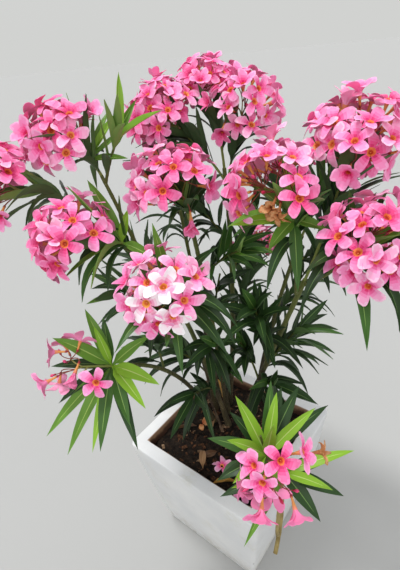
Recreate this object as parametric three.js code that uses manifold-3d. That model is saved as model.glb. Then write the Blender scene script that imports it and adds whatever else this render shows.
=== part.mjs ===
// Potted oleander: a flowering shrub of several leaning stems in a square tapering pot.
// Millimetres, +Z up. The origin is the middle of the pot's flat underside, and the
// pot's four sides face along X and Y.
import * as THREE from 'three';
import { mergeVertices } from 'three/addons/utils/BufferGeometryUtils.js';
import Module from 'manifold-3d';

const wasm = await Module();
wasm.setup();

// Pot: outer sides at the rim and the foot, and the broad flat rim round the opening
const POT_HEIGHT = 365;
const RIM_SIDE = 400;
const FOOT_SIDE = 304;
const CORNER_RADIUS = 10;
const CORNER_STEPS = 3;
const SIDE_BULGE = 3;
const EDGE_ROUND = 3;
const RIM_WIDTH = 35;
const FLOOR_WALL = 24;
const FLOOR_THICK = 25;
const DRAIN_HOLE = 14;
const DRAIN_SIDES = 8;
const DRAIN_OFFSET = 80;
const SOIL_DROP = 30;

// Pieces that touch keep this gap, which a search finds in small steps
const GAP = 0.3;
const START_STEP = 0.05;
const NEARBY = 0.1;
const NEARBY_BEADS = 80;
const LIMB_BEADS = 60;

// Leaves: long and narrow, three to a whorl; the solids have every second whorl
const LEAF_LENGTH = 155;
const LEAF_WIDTH = 22;
const LEAF_THICK = 2;
const LEAF_WIDEST = 0.4;
const LEAF_SUNK = 1;
const LEAF_STAGGER = 3;
const WHORL_LEAVES = 3;
const WHORL_STEP = 22;
const FEWEST_WHORLS = 4;
const SOLID_WHORLS = 2;
const FIRST_WHORL = 0.1;
const LAST_WHORL = 0.97;
const BARE_END = 42;
const BARE_SHARE = 0.45;

// Leaves by age, from the oldest at a shoot's foot to the youngest at its tip: the angle
// to the shoot, the length and the droop, then how far chance moves them
const SPREAD = [1.15, 0.6];
const LENGTH_SHARE = [1, 0.68];
const WIDTH_SHARE = [0.85, 1];
const DROOP = [1.1, 0.1];
const TURN_CHANCE = 0.5;
const SPREAD_CHANCE = 0.35;
const LENGTH_CHANCE = [0.85, 1.1];
const DROOP_CHANCE = 0.5;
const YOUNG_STIFF = 0.8;

// A leaf that doesn't fit is tried again, turned a little, closer to the shoot and shorter
const LEAF_TRIES = 6;
const TRY_TURN = 0.22;
const TRY_SPREAD = 0.11;
const TRY_SHORTER = 0.09;

// Flowers: five petals on a tube and a stalk, from the end of the shoot
const PETALS = 5;
const FLOWER_RADIUS = 29;
const TUBE_LENGTH = 20;
const TUBE_RADIUS = 2;
const THROAT_DEPTH = 4;
const STALK_RADIUS = 1.2;
const STALK_SPAN = 16;

// A truss is a dome of flowers, which look out of it, up and the way that it faces
const DOME_RADIUS = 44;
const DOME_WIDE = 1.12;
const DOME_TALL = 0.9;
const DOME_COVER = 1.35;
const DOME_FOOT = 0.6;
const DOME_CHANCE = [0.8, 1.15];
const LOOK_UP = 0.35;
const LOOK_OUT = 0.3;
const FLOWERS_APART = 44;
const TRUSS_REACH = 26;

// Stems and boughs are round, with a flare where they meet the soil
const LIMB_SIDES = 8;
const STEM_STEPS = 7;
const BOUGH_STEPS = 4;
const BOUGH_RADIUS = [3.8, 3.2];
const FLARE = 0.5;
const FLARE_SHARE = 0.12;

// Twigs inside a mass are three-sided, from their foot to their tip
const TWIG_SIDES = 3;
const TWIG_FOOT = 3.6;
const TWIG_TIP = 2.4;
const TWIG_STEPS = 4;
const SHOOT_LIFT = 0.35;
const SHOOT_MARKS = [0.1, 0.3, 0.5, 0.7, 0.9, 1];

// Free space that a leaf or flower keeps to another mass's space, a limb and the pot
const SPACE_MARGIN = 0.8;
const LIMB_MARGIN = 6.5;
const POT_MARGIN = 2;

// Stems, from a flat cut on the soil: [x, y] of the foot, the bend, the tip, and the
// radius at the foot and the tip
const SOIL_TOP = POT_HEIGHT - SOIL_DROP;
const STEMS = {
  stem_middle_back: [[-66, 85], [-15, 85, 700], [-48, 103, 1049], [7.5, 4.2]],
  stem_middle_front: [[-48, 52], [-60, 30, 760], [4, -88, 1012], [7, 4]],
  stem_front: [[-22, 18], [-55, -40, 700], [48, -198, 905], [6.5, 3.8]],
  stem_left: [[-88, 46], [-84, 10, 700], [-45, -189, 985], [7, 4]],
  stem_right: [[-8, 68], [100, 22, 630], [192, 1, 892], [7.5, 4.5]],
  stem_low_left: [[-66, 8], [-78, -70, 620], [-46, -252, 764], [6.5, 3.8]],
  stem_low_right: [[74, -8], [214, -45, 460], [250, -210, 342], [6.5, 4.5]],
  stem_back_right: [[14, 100], [40, 120, 640], [112, 158, 900], [7, 4]],
  stem_back_left: [[-108, 92], [-150, 100, 620], [-190, 104, 930], [7, 4]],
  dead_stick: [[-29, -6], [-60, 10, 380], [-101, 22, 437], [4, 3.2]],
};

// Boughs: the stem that carries one, how far up it from 0 to 1, the bend and the tip
const BOUGHS = {
  bough_left_high: ['stem_left', 0.93, [-85, -165, 1030], [-124, -162, 1098]],
  bough_left_outer: ['stem_left', 0.97, [-85, -215, 1010], [-128, -226, 1058]],
  bough_right_front: ['stem_right', 0.9, [190, -30, 930], [203, -62, 1000]],
  bough_right_outer: ['stem_right', 0.97, [240, -10, 920], [272, -42, 972]],
  bough_low_right: ['stem_low_right', 0.9, [262, -238, 450], [266, -216, 640]],
};

// Masses that flower: the limb and how far up it, then the middle of the truss, the way
// it faces, its size and its flowers
const TRUSSES = {
  top_left: ['stem_middle_back', 0.96, [-146, 32, 1174], [-0.3, -0.5, 0.8], 1.2, 15],
  top_middle: ['stem_middle_back', 1, [-108, 138, 1206], [-0.2, -0.1, 1], 1.1, 14],
  top_right: ['stem_middle_back', 0.93, [2, 118, 1178], [0.5, -0.3, 0.8], 1.2, 16],
  middle: ['stem_middle_front', 1, [-3, -113, 1088], [0, -0.5, 0.8], 1.35, 16],
  right_front: ['bough_right_front', 1, [177, -94, 1103], [-0.2, -0.6, 0.7], 1.15, 13],
  right_top: ['stem_right', 1, [246, 20, 1146], [0.2, -0.3, 0.9], 1.3, 15],
  right_outer: ['bough_right_outer', 1, [314, -64, 1024], [0.7, -0.4, 0.5], 1.15, 13],
  left_high: ['bough_left_high', 1, [-155, -206, 1172], [-0.2, -0.5, 0.8], 1.1, 14],
  left_outer: ['bough_left_outer', 1, [-198, -306, 1120], [-0.5, -0.6, 0.6], 1.1, 12],
  left_front: ['stem_left', 1, [-76, -280, 1036], [-0.2, -0.6, 0.7], 1.1, 13],
  front: ['stem_front', 1, [83, -249, 968], [0.2, -0.6, 0.8], 1.1, 13],
  low_left: ['stem_low_left', 1, [-90, -348, 822], [-0.6, -0.6, 0.5], 1, 6],
  low_right: ['bough_low_right', 1, [267, -262, 690], [0.2, -0.9, 0.2], 1.1, 11],
  back_left: ['stem_back_left', 1, [-238, 130, 1110], [-0.6, 0.4, 0.7], 1.1, 12],
  back_left_low: ['stem_back_left', 0.8, [-262, 190, 960], [-0.6, 0.7, 0.4], 1, 9],
  back_middle: ['stem_back_right', 0.94, [40, 196, 1040], [-0.1, 0.8, 0.7], 1.1, 12],
  back_right: ['stem_back_right', 1, [192, 166, 1090], [0.4, 0.5, 0.8], 1.1, 12],
  back_right_low: ['stem_back_right', 0.85, [246, 162, 926], [0.8, 0.5, 0.4], 1, 9],
  back_low: ['stem_middle_back', 0.35, [-66, 262, 800], [-0.1, 0.9, 0.4], 1, 8],
};

// Masses of leaves only: the limb and how far up it, and the tip of the shoot
const LEAFY = {
  left_young: ['bough_left_high', 0.9, [-88, -140, 1160]],
  low_left: ['stem_low_left', 0.7, [-84, -150, 800]],
  low_right_young: ['bough_low_right', 0.7, [236, -240, 742]],
  left: ['stem_left', 0.52, [-176, -66, 880]],
  left_low: ['stem_left', 0.24, [-150, -60, 640]],
  back_left: ['stem_back_left', 0.42, [-236, 24, 800]],
  middle: ['stem_middle_front', 0.45, [28, -40, 880]],
  middle_low: ['stem_middle_front', 0.22, [32, -20, 610]],
  front: ['stem_front', 0.5, [64, -110, 760]],
  front_low: ['stem_front', 0.25, [-10, -120, 590]],
  right: ['stem_right', 0.5, [130, -74, 850]],
  right_low: ['stem_right', 0.25, [140, -20, 620]],
  back: ['stem_back_right', 0.48, [110, 226, 800]],
  back_low: ['stem_back_right', 0.22, [90, 150, 600]],
  high: ['stem_middle_back', 0.62, [40, 64, 960]],
  high_front: ['stem_middle_front', 0.7, [84, -50, 950]],
  left_front: ['stem_left', 0.62, [-104, -184, 870]],
  centre: ['stem_right', 0.36, [84, -60, 740]],
  high_back: ['stem_middle_back', 0.74, [-120, 40, 1010]],
  back_right: ['stem_right', 0.4, [160, 66, 730]],
};

const TWO_PI = 2 * Math.PI;
const UP = new THREE.Vector3(0, 0, 1);
const point = (place) => new THREE.Vector3(...place);
const mix = (a, b, t) => a + (b - a) * t;

// The same number from 0 to 1 for the same seed and count, so the plant grows alike each time
function chance(seed, count) {
  const wave = Math.sin(seed * 12.9898 + count * 78.233) * 43758.5453;
  return wave - Math.floor(wave);
}

// Solids are joined and cut as closed triangle meshes with shared vertices
function toSolid(geometry) {
  const bare = geometry.clone();
  bare.deleteAttribute('normal');
  bare.deleteAttribute('uv');
  const merged = mergeVertices(bare, 1e-4);
  return new wasm.Manifold(new wasm.Mesh({
    numProp: 3,
    vertProperties: new Float32Array(merged.attributes.position.array),
    triVerts: new Uint32Array(merged.index.array),
  }));
}

function toGeometry(solid) {
  const mesh = solid.getMesh();
  const geometry = new THREE.BufferGeometry();
  geometry.setAttribute('position', new THREE.BufferAttribute(mesh.vertProperties, mesh.numProp));
  geometry.setIndex(new THREE.BufferAttribute(mesh.triVerts, 1));
  return geometry;
}

// One body: the largest piece of the join, with any sealed hollow or loose scrap left out
function fuse(geometries) {
  const joined = geometries.map(toSolid).reduce((sum, next) => sum.add(next));
  const bodies = joined.decompose();
  return toGeometry(bodies.reduce((best, next) => (next.volume() > best.volume() ? next : best)));
}

// Moves every corner of a shape by a rule
function reshape(geometry, rule) {
  const corners = geometry.attributes.position;
  const corner = new THREE.Vector3();
  for (let i = 0; i < corners.count; i += 1) {
    const moved = rule(corner.fromBufferAttribute(corners, i));
    corners.setXYZ(i, moved.x, moved.y, moved.z);
  }
  return geometry;
}

// Directions across a curve, which turn with it and don't twist
function across(along, chord) {
  const level = Math.abs(chord.x) < Math.abs(chord.y) ? point([1, 0, 0]) : point([0, 1, 0]);
  const side = along.clone().cross(level).normalize();
  return { side, front: side.clone().cross(along) };
}

function acrossCurve(curve, t) {
  return across(curve.getTangent(t), curve.getPoint(1).sub(curve.getPoint(0)));
}

// A tapering round limb along a curve, with flat ends; a level cut lies flat on the soil
function limbGeometry(curve, radiusAt, sides, steps, levelCut = false) {
  const rod = new THREE.CylinderGeometry(1, 1, 1, sides, steps);
  return reshape(rod, (corner) => {
    const t = corner.y + 0.5;
    const { side, front } = acrossCurve(curve, t);
    if (levelCut && t === 0) {
      side.setZ(0).normalize();
      front.copy(side).cross(UP);
    }
    const radius = radiusAt(t);
    return curve.getPoint(t)
      .addScaledVector(side, corner.x * radius)
      .addScaledVector(front, corner.z * radius);
  });
}

// Pot: an outline with round corners, drawn in between the foot and the rim
function squareOutline(side, radius) {
  const half = side / 2;
  const outline = new THREE.Shape();
  for (let corner = 0; corner < 4; corner += 1) {
    const turn = (corner * Math.PI) / 2;
    const centre = new THREE.Vector2(half - radius, half - radius).rotateAround(new THREE.Vector2(), turn);
    outline.absarc(centre.x, centre.y, radius, turn, turn + Math.PI / 2, false);
  }
  return outline;
}

// Extrudes the rim's outline up through a list of [height, side] rows
function taperedBlock(rows) {
  const rimSide = rows[rows.length - 1][1];
  const block = new THREE.ExtrudeGeometry(squareOutline(rimSide, CORNER_RADIUS), {
    depth: rows.length - 1, steps: rows.length - 1, bevelEnabled: false, curveSegments: CORNER_STEPS,
  });
  return reshape(block, (corner) => {
    const [height, side] = rows[Math.round(corner.z)];
    return new THREE.Vector3(corner.x * side / rimSide, corner.y * side / rimSide, height);
  });
}

function outerSide(height) {
  const up = height / POT_HEIGHT;
  return mix(FOOT_SIDE, RIM_SIDE, up) + 2 * SIDE_BULGE * Math.sin(Math.PI * up);
}

function innerSide(height) {
  const up = (height - FLOOR_THICK) / (POT_HEIGHT - FLOOR_THICK);
  return mix(FOOT_SIDE - 2 * FLOOR_WALL, RIM_SIDE - 2 * RIM_WIDTH, up);
}

function potGeometry() {
  const edge = (height) => outerSide(height) - 2 * EDGE_ROUND;
  const heights = [EDGE_ROUND, POT_HEIGHT / 3, (2 * POT_HEIGHT) / 3, POT_HEIGHT - EDGE_ROUND];
  const rows = heights.map((height) => [height, outerSide(height)]);
  const outside = toSolid(taperedBlock([[0, edge(0)], ...rows, [POT_HEIGHT, edge(POT_HEIGHT)]]));
  const inside = toSolid(taperedBlock([
    [FLOOR_THICK, innerSide(FLOOR_THICK)],
    [POT_HEIGHT - EDGE_ROUND, innerSide(POT_HEIGHT - EDGE_ROUND)],
    [POT_HEIGHT + EDGE_ROUND, innerSide(POT_HEIGHT) + 4 * EDGE_ROUND],
  ]));
  let pot = outside.subtract(inside);
  for (const [x, y] of [[1, 1], [-1, 1], [-1, -1], [1, -1]]) {
    const drain = new THREE.CylinderGeometry(DRAIN_HOLE / 2, DRAIN_HOLE / 2, 3 * FLOOR_THICK, DRAIN_SIDES);
    drain.rotateX(Math.PI / 2).translate(x * DRAIN_OFFSET, y * DRAIN_OFFSET, 0);
    pot = pot.subtract(toSolid(drain));
  }
  return toGeometry(pot);
}

// Soil fills the pot up to a flat top a little below the rim
function soilGeometry() {
  const foot = FLOOR_THICK + GAP;
  return taperedBlock([foot, SOIL_TOP].map((height) => [height, innerSide(height) - 2 * GAP]));
}

// Limbs: the curve, the radius along it with a flare at the soil, and the number of steps
const limbs = {};

function growStem(name, [foot, knee, tip, [thick, thin]]) {
  const curve = new THREE.QuadraticBezierCurve3(point([...foot, SOIL_TOP + GAP]), point(knee), point(tip));
  const radiusAt = (t) => mix(thick, thin, t) + FLARE * thick * Math.max(0, 1 - t / FLARE_SHARE);
  limbs[name] = { curve, radiusAt, steps: STEM_STEPS, rooted: true };
}

function growBough(name, [stem, at, bend, end]) {
  const [thick, thin] = BOUGH_RADIUS;
  const knee = point(bend);
  const tip = point(end);
  const start = sideStart(limbs[stem], at, knee, tip, thick, LIMB_SIDES);
  const curve = new THREE.QuadraticBezierCurve3(start, knee, tip);
  limbs[name] = { curve, radiusAt: (t) => mix(thick, thin, t), steps: BOUGH_STEPS, rooted: false };
}

// The middle of a limb's straight-sided solid, which cuts a little inside its curve
function limbMiddle({ curve, steps }, t) {
  const step = Math.min(Math.floor(t * steps), steps - 1);
  return curve.getPoint(step / steps).lerp(curve.getPoint((step + 1) / steps), t * steps - step);
}

// Where a shoot with a flat end starts, just clear of the limb that carries it
function sideStart(limb, at, knee, tip, radius, sides) {
  const root = limbMiddle(limb, at);
  if (at >= 1) return root.addScaledVector(limb.curve.getTangent(1), GAP);
  const way = knee.clone().sub(root).normalize();
  const { side, front } = across(way, tip.clone().sub(root));
  const nearby = Array.from({ length: NEARBY_BEADS }, (_, i) => at + NEARBY * (2 * i / NEARBY_BEADS - 1))
    .filter((t) => t > 0 && t < 1)
    .map((t) => ({ at: limbMiddle(limb, t), radius: limb.radiusAt(t) }));
  const ring = Array.from({ length: 4 * sides }, (_, i) => {
    const turn = (i * TWO_PI) / (4 * sides);
    const apothem = Math.cos(Math.PI / sides) / Math.cos((turn % (TWO_PI / sides)) - Math.PI / sides);
    return side.clone().multiplyScalar(Math.sin(turn)).addScaledVector(front, Math.cos(turn))
      .multiplyScalar(radius * apothem);
  });
  for (let out = limb.radiusAt(at); ; out += START_STEP) {
    const middle = root.clone().addScaledVector(way, out);
    const clear = ring.every((offset) => nearby.every((bead) => (
      bead.at.distanceTo(middle.clone().add(offset)) > bead.radius + GAP
    )));
    if (clear) return middle;
  }
}

Object.entries(STEMS).forEach(([name, stem]) => growStem(name, stem));
Object.entries(BOUGHS).forEach(([name, bough]) => growBough(name, bough));

const limbBeads = Object.values(limbs).flatMap((limb) => (
  Array.from({ length: LIMB_BEADS + 1 }, (_, i) => i / LIMB_BEADS)
    .map((t) => ({ at: limbMiddle(limb, t), radius: limb.radiusAt(t) }))
));

// Shoots: each mass has one, from its limb to the foot of its truss or to its own tip
function growShoot(name, limbName, at, tip, order, truss) {
  const limb = limbs[limbName];
  const root = limb.curve.getPoint(at);
  const lead = at === 1
    ? limb.curve.getTangent(1)
    : tip.clone().sub(root).normalize().addScaledVector(UP, SHOOT_LIFT).normalize();
  const knee = root.clone().addScaledVector(lead, 0.5 * tip.distanceTo(root));
  const start = sideStart(limb, at, knee, tip, TWIG_FOOT, TWIG_SIDES);
  const curve = new THREE.QuadraticBezierCurve3(start, knee, tip);
  return { name, seed: order + 1, curve, length: curve.getLength(), truss };
}

function growFlowering([name, [limb, at, middle, facing, size, flowers]], order) {
  const head = point(middle);
  const faces = point(facing).normalize();
  const foot = head.clone().addScaledVector(faces, -DOME_FOOT * DOME_RADIUS * size);
  return growShoot(`blossom_${name}`, limb, at, foot, order, { head, faces, size, flowers });
}

function growLeafy([name, [limb, at, tip]], order) {
  return growShoot(`leaves_${name}`, limb, at, point(tip), Object.keys(TRUSSES).length + order);
}

const shoots = [
  ...Object.entries(TRUSSES).map(growFlowering),
  ...Object.entries(LEAFY).map(growLeafy),
];

// A mass's space is where its own shoot or truss is nearer than any other mass's
const spaceMarks = shoots.flatMap((shoot, owner) => {
  const marks = SHOOT_MARKS.map((t) => ({ owner, at: shoot.curve.getPoint(t), reach: 0 }));
  if (shoot.truss) marks.push({ owner, at: shoot.truss.head, reach: TRUSS_REACH });
  return marks;
});

function inOwnSpace(owner, place) {
  let own = Infinity;
  let other = Infinity;
  for (const mark of spaceMarks) {
    const distance = mark.at.distanceTo(place) - mark.reach;
    if (mark.owner === owner) own = Math.min(own, distance);
    else other = Math.min(other, distance);
  }
  return own + 2 * SPACE_MARGIN < other;
}

function clearOfPot(place) {
  const out = Math.max(Math.abs(place.x), Math.abs(place.y));
  const outside = out > RIM_SIDE / 2 + POT_MARGIN || place.z > POT_HEIGHT + POT_MARGIN;
  const overSoil = out < RIM_SIDE / 2 - RIM_WIDTH - POT_MARGIN && place.z > SOIL_TOP + POT_MARGIN;
  return (outside && place.z > POT_MARGIN) || overSoil;
}

function clearOfLimbs(place) {
  return limbBeads.every((bead) => bead.at.distanceTo(place) > bead.radius + LIMB_MARGIN);
}

function fits(owner, places) {
  return places.every((place) => (
    inOwnSpace(owner, place) && clearOfPot(place) && clearOfLimbs(place)
  ));
}

// One leaf: its root on the shoot, where it is widest and its tip, which the leaf's own
// weight bends down unless it stands upright; older leaves stand out more and hang more
function planLeaf(shoot, whorl, whorls, leaf, attempt) {
  const young = whorl / (whorls - 1);
  const count = 10 * (WHORL_LEAVES * whorl + leaf);
  const draw = (which) => chance(shoot.seed, count + which);
  const last = shoot.truss ? 1 - Math.min(BARE_SHARE, BARE_END / shoot.length) : LAST_WHORL;
  const t = mix(FIRST_WHORL, last, young) + (leaf - 1) * (LEAF_STAGGER / shoot.length);
  const along = shoot.curve.getTangent(t);
  const { side, front } = acrossCurve(shoot.curve, t);
  const whorlTurn = chance(shoot.seed, 1) * TWO_PI + (whorl * Math.PI) / WHORL_LEAVES;
  const turn = whorlTurn + (leaf * TWO_PI) / WHORL_LEAVES + (draw(2) - 0.5) * TURN_CHANCE
    + attempt * (leaf % 2 ? TRY_TURN : -TRY_TURN);
  const out = side.clone().multiplyScalar(Math.cos(turn)).addScaledVector(front, Math.sin(turn));
  const spread = mix(...SPREAD, young) + (draw(3) - 0.5) * SPREAD_CHANCE - attempt * TRY_SPREAD;
  const way = along.clone().multiplyScalar(Math.cos(spread)).addScaledVector(out, Math.sin(spread));
  const share = mix(...LENGTH_SHARE, young * young) * mix(...LENGTH_CHANCE, draw(4));
  const length = LEAF_LENGTH * share * (1 - TRY_SHORTER * attempt);
  const limp = mix(...DROOP, young) + DROOP_CHANCE * draw(5) * (1 - YOUNG_STIFF * young);
  const droop = limp * Math.hypot(way.x, way.y);
  const root = shoot.curve.getPoint(t);
  const middle = root.clone().addScaledVector(way, length * LEAF_WIDEST);
  const bent = way.clone().addScaledVector(UP, -droop).normalize();
  const tip = middle.clone().addScaledVector(bent, length * (1 - LEAF_WIDEST));
  const width = LEAF_WIDTH * mix(...WIDTH_SHARE, length / LEAF_LENGTH);
  return { root, middle, tip, way, width, flank: along.clone().cross(way).normalize() };
}

function leafTestPoints(leaf) {
  const places = [];
  for (const s of [0.25, 0.45, 0.7, 1]) {
    places.push(leaf.root.clone().lerp(leaf.middle, s));
    places.push(leaf.middle.clone().lerp(leaf.tip, s));
  }
  for (const s of [0.5, 1]) {
    for (const half of [-0.5, 0.5]) {
      const reach = leaf.width * half * s;
      places.push(leaf.root.clone().lerp(leaf.middle, s).addScaledVector(leaf.flank, reach));
      places.push(leaf.tip.clone().lerp(leaf.middle, s).addScaledVector(leaf.flank, reach));
    }
  }
  return places;
}

function leafGeometry(leaf) {
  const root = leaf.root.clone().addScaledVector(leaf.way, -LEAF_SUNK);
  const halfway = leaf.tip.clone().sub(leaf.middle).normalize().add(leaf.way);
  const rise = halfway.cross(leaf.flank).normalize();
  return reshape(new THREE.OctahedronGeometry(1), (corner) => {
    const spine = corner.z < -0.5 ? root : corner.z > 0.5 ? leaf.tip : leaf.middle;
    return spine.clone()
      .addScaledVector(leaf.flank, corner.x * 0.5 * leaf.width)
      .addScaledVector(rise, corner.y * 0.5 * LEAF_THICK);
  });
}

// Whorls of leaves all along a shoot; a leaf that never fits is left out
function growLeaves(shoot, owner) {
  const whorls = Math.max(FEWEST_WHORLS, Math.round(shoot.length / WHORL_STEP));
  const leaves = [];
  for (let whorl = 0; whorl < whorls; whorl += SOLID_WHORLS) {
    for (let leaf = 0; leaf < WHORL_LEAVES; leaf += 1) {
      for (let attempt = 0; attempt < LEAF_TRIES; attempt += 1) {
        const plan = planLeaf(shoot, whorl, whorls, leaf, attempt);
        if (fits(owner, leafTestPoints(plan))) {
          leaves.push(leafGeometry(plan));
          break;
        }
      }
    }
  }
  return leaves;
}

// Flowers spread evenly over a dome, turned by the golden angle from each to the next
function planFlower(shoot, k) {
  const { head, faces, size, flowers } = shoot.truss;
  const turn = k * Math.PI * (3 - Math.sqrt(5)) + chance(shoot.seed, 7) * TWO_PI;
  const height = 1 - (DOME_COVER * (k + 0.5)) / flowers;
  const { side, front } = across(faces, faces);
  const flat = Math.sqrt(1 - height * height);
  const way = faces.clone().multiplyScalar(height * DOME_TALL)
    .addScaledVector(side, flat * Math.cos(turn) * DOME_WIDE)
    .addScaledVector(front, flat * Math.sin(turn) * DOME_WIDE);
  const radius = DOME_RADIUS * size * mix(...DOME_CHANCE, chance(shoot.seed, 500 + k));
  const face = head.clone().addScaledVector(way, radius);
  const sight = way.clone().addScaledVector(UP, LOOK_UP).addScaledVector(faces, LOOK_OUT).normalize();
  const foot = shoot.curve.getPoint(1 - (STALK_SPAN * (k / flowers)) / shoot.length);
  return { face, sight, foot, spin: chance(shoot.seed, 600 + k) * TWO_PI };
}

// A flower is a stalk, a tube that widens and an open ring of petals round its throat
function flowerGeometry({ face, sight, foot, spin }) {
  const { side, front } = across(sight, sight);
  const back = face.clone().addScaledVector(sight, -TUBE_LENGTH);
  const throat = face.clone().addScaledVector(sight, -THROAT_DEPTH);
  const rings = [[foot, STALK_RADIUS], [back, TUBE_RADIUS], [face, FLOWER_RADIUS]];
  return reshape(new THREE.CylinderGeometry(1, 1, 1, PETALS, 2), (corner) => {
    const [middle, radius] = rings[Math.round(2 * (corner.y + 0.5))];
    if (Math.hypot(corner.x, corner.z) < 0.5) return (middle === face ? throat : middle).clone();
    const turn = Math.atan2(corner.x, corner.z) + spin;
    return middle.clone()
      .addScaledVector(side, radius * Math.sin(turn))
      .addScaledVector(front, radius * Math.cos(turn));
  });
}

function growFlowers(shoot, owner) {
  const flowers = [];
  const faces = [];
  for (let k = 0; k < shoot.truss.flowers; k += 1) {
    const plan = planFlower(shoot, k);
    const flower = flowerGeometry(plan);
    const corners = flower.attributes.position;
    const places = Array.from({ length: corners.count }, (_, i) => (
      new THREE.Vector3().fromBufferAttribute(corners, i)
    )).filter((place) => place.distanceTo(plan.foot) > 2 * STALK_RADIUS);
    const apart = faces.every((face) => face.distanceTo(plan.face) > FLOWERS_APART);
    if (apart && fits(owner, places)) {
      flowers.push(flower);
      faces.push(plan.face);
    }
  }
  return flowers;
}

function massGeometry(shoot, owner) {
  const radiusAt = (t) => mix(TWIG_FOOT, TWIG_TIP, t);
  const twig = limbGeometry(shoot.curve, radiusAt, TWIG_SIDES, TWIG_STEPS);
  const flowers = shoot.truss ? growFlowers(shoot, owner) : [];
  return fuse([twig, ...growLeaves(shoot, owner), ...flowers]);
}

// Materials
const material = (color, roughness) => new THREE.MeshStandardMaterial({ color, roughness, metalness: 0 });
const whitePaint = material(0xe9e9e6, 0.45);
const darkSoil = material(0x3a2a20, 0.95);
const oliveBark = material(0x6f6a3f, 0.8);
const deadWood = material(0x5a4332, 0.9);
const greenLeaves = material(0x3f6b34, 0.5);
const pinkBlossom = material(0xe77fae, 0.55);

const plant = new THREE.Group();

function addNode(name, geometry, finish) {
  const mesh = new THREE.Mesh(geometry, finish);
  mesh.name = name;
  plant.add(mesh);
}

addNode('pot', potGeometry(), whitePaint);
addNode('soil', soilGeometry(), darkSoil);
for (const [name, { curve, radiusAt, rooted, steps }] of Object.entries(limbs)) {
  const finish = name === 'dead_stick' ? deadWood : oliveBark;
  addNode(name, limbGeometry(curve, radiusAt, LIMB_SIDES, steps, rooted), finish);
}
shoots.forEach((shoot, owner) => {
  addNode(shoot.name, massGeometry(shoot, owner), shoot.truss ? pinkBlossom : greenLeaves);
});

export default plant;
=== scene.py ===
# Potted oleander: a flowering shrub of several leaning stems in a square white pot. The
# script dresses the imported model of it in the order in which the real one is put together.
import math

import bmesh
import bpy
import numpy as np
from mathutils import Matrix, Vector, noise


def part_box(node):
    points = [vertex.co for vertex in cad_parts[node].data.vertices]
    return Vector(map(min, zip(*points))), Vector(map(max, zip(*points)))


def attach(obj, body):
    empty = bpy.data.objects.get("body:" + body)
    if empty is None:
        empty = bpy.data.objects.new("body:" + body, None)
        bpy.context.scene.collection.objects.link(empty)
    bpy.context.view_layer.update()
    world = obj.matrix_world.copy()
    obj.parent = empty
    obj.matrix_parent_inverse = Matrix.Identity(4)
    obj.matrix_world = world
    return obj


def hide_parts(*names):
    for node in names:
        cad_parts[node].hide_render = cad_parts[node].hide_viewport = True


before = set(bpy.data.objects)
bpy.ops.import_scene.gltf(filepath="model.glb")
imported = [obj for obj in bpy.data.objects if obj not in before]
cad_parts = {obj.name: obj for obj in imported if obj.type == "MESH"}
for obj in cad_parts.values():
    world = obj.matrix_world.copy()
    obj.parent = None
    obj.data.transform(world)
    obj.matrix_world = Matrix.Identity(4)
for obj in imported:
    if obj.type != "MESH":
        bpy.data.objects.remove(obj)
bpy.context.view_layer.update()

# Camera: held by hand above the pot's front right corner, at head height, looking down
# into the shrub with a slight lean.
PHOTO_HEIGHT = 570
FOCAL_PIXELS = 401
CAMERA_PLACE = Vector((0.4532, -0.6048, 1.2796))
CAMERA_ROUND, CAMERA_DOWN, CAMERA_LEAN = (math.radians(turn) for turn in (130.4, 30.8, -5.8))

level_way = Vector((math.cos(CAMERA_ROUND), math.sin(CAMERA_ROUND), 0))
forward = level_way * math.cos(CAMERA_DOWN) - Vector((0, 0, math.sin(CAMERA_DOWN)))
level_right = Vector((level_way.y, -level_way.x, 0))
lean = Matrix.Rotation(-CAMERA_LEAN, 3, forward)
right = lean @ level_right
upward = right.cross(forward)


def add_object(name, data):
    made = bpy.data.objects.new(name, data)
    bpy.context.scene.collection.objects.link(made)
    return made


camera_data = bpy.data.cameras.new("camera")
camera_data.lens = camera_data.sensor_width * FOCAL_PIXELS / PHOTO_HEIGHT
camera = add_object("camera", camera_data)
camera.matrix_world = Matrix((right, upward, -forward)).transposed().to_4x4()
camera.location = CAMERA_PLACE
bpy.context.scene.camera = camera


def seen(across, up, near):
    """A way through space, given as the camera sees it."""
    return right * across + upward * up - forward * near


# Pot: cast in light fibre cement and painted white, with a broad flat rim, rounded edges,
# slightly bulging sides and four drain holes. The paint has worn and stained a little.
POT_LOW, POT_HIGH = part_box("pot")
POT_HEIGHT = POT_HIGH.z
RIM_SIDE = POT_HIGH.x - POT_LOW.x
FOOT_SIDE = 0.304
RIM_WIDTH = 0.035
FLOOR_WALL = 0.024
FLOOR_THICK = 0.025
SIDE_BULGE = 0.003
CORNER_RADIUS, CORNER_STEPS = 0.01, 6
EDGE_ROUND, EDGE_STEPS = 0.003, 4
SIDE_STEPS, SIDE_ROWS = 26, 10
INSIDE_HEIGHTS = (0.345, 0.335, 0.3, 0.2, 0.1, FLOOR_THICK)
DRAIN_HOLE, DRAIN_SIDES = 0.014, 24
DRAIN_OFFSET = 0.08
SOIL_TOP = 0.335
WAVE_HEIGHT, WAVE_SCALE, WAVE_START = 0.0009, 16, 0.02
NOISE_SEED = 1
CHIP_RADIUS, CHIP_DEPTH, CHIP_SLOPE = 0.009, 0.0022, 0.1
CHIP_PLACES = [Vector((-0.04, -0.199, 0.363)), Vector((0.2, -0.07, 0.364)),
               Vector((-0.172, -0.196, 0.362))]
INNER_EDGE, WALL_FOOT = (0.164, 0.1675), (0.1, 0.11)
SMOOTH_TURN = math.radians(50)
STAINS = [((-0.004, -0.191, 0.365), 0.035), ((0.13, -0.2, 0.33), 0.04), ((-0.19, 0.1, 0.36), 0.05),
          ((0.196, 0.06, 0.35), 0.05), ((-0.1, 0.2, 0.3), 0.06), ((-0.1, -0.19, 0.25), 0.03)]


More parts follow.
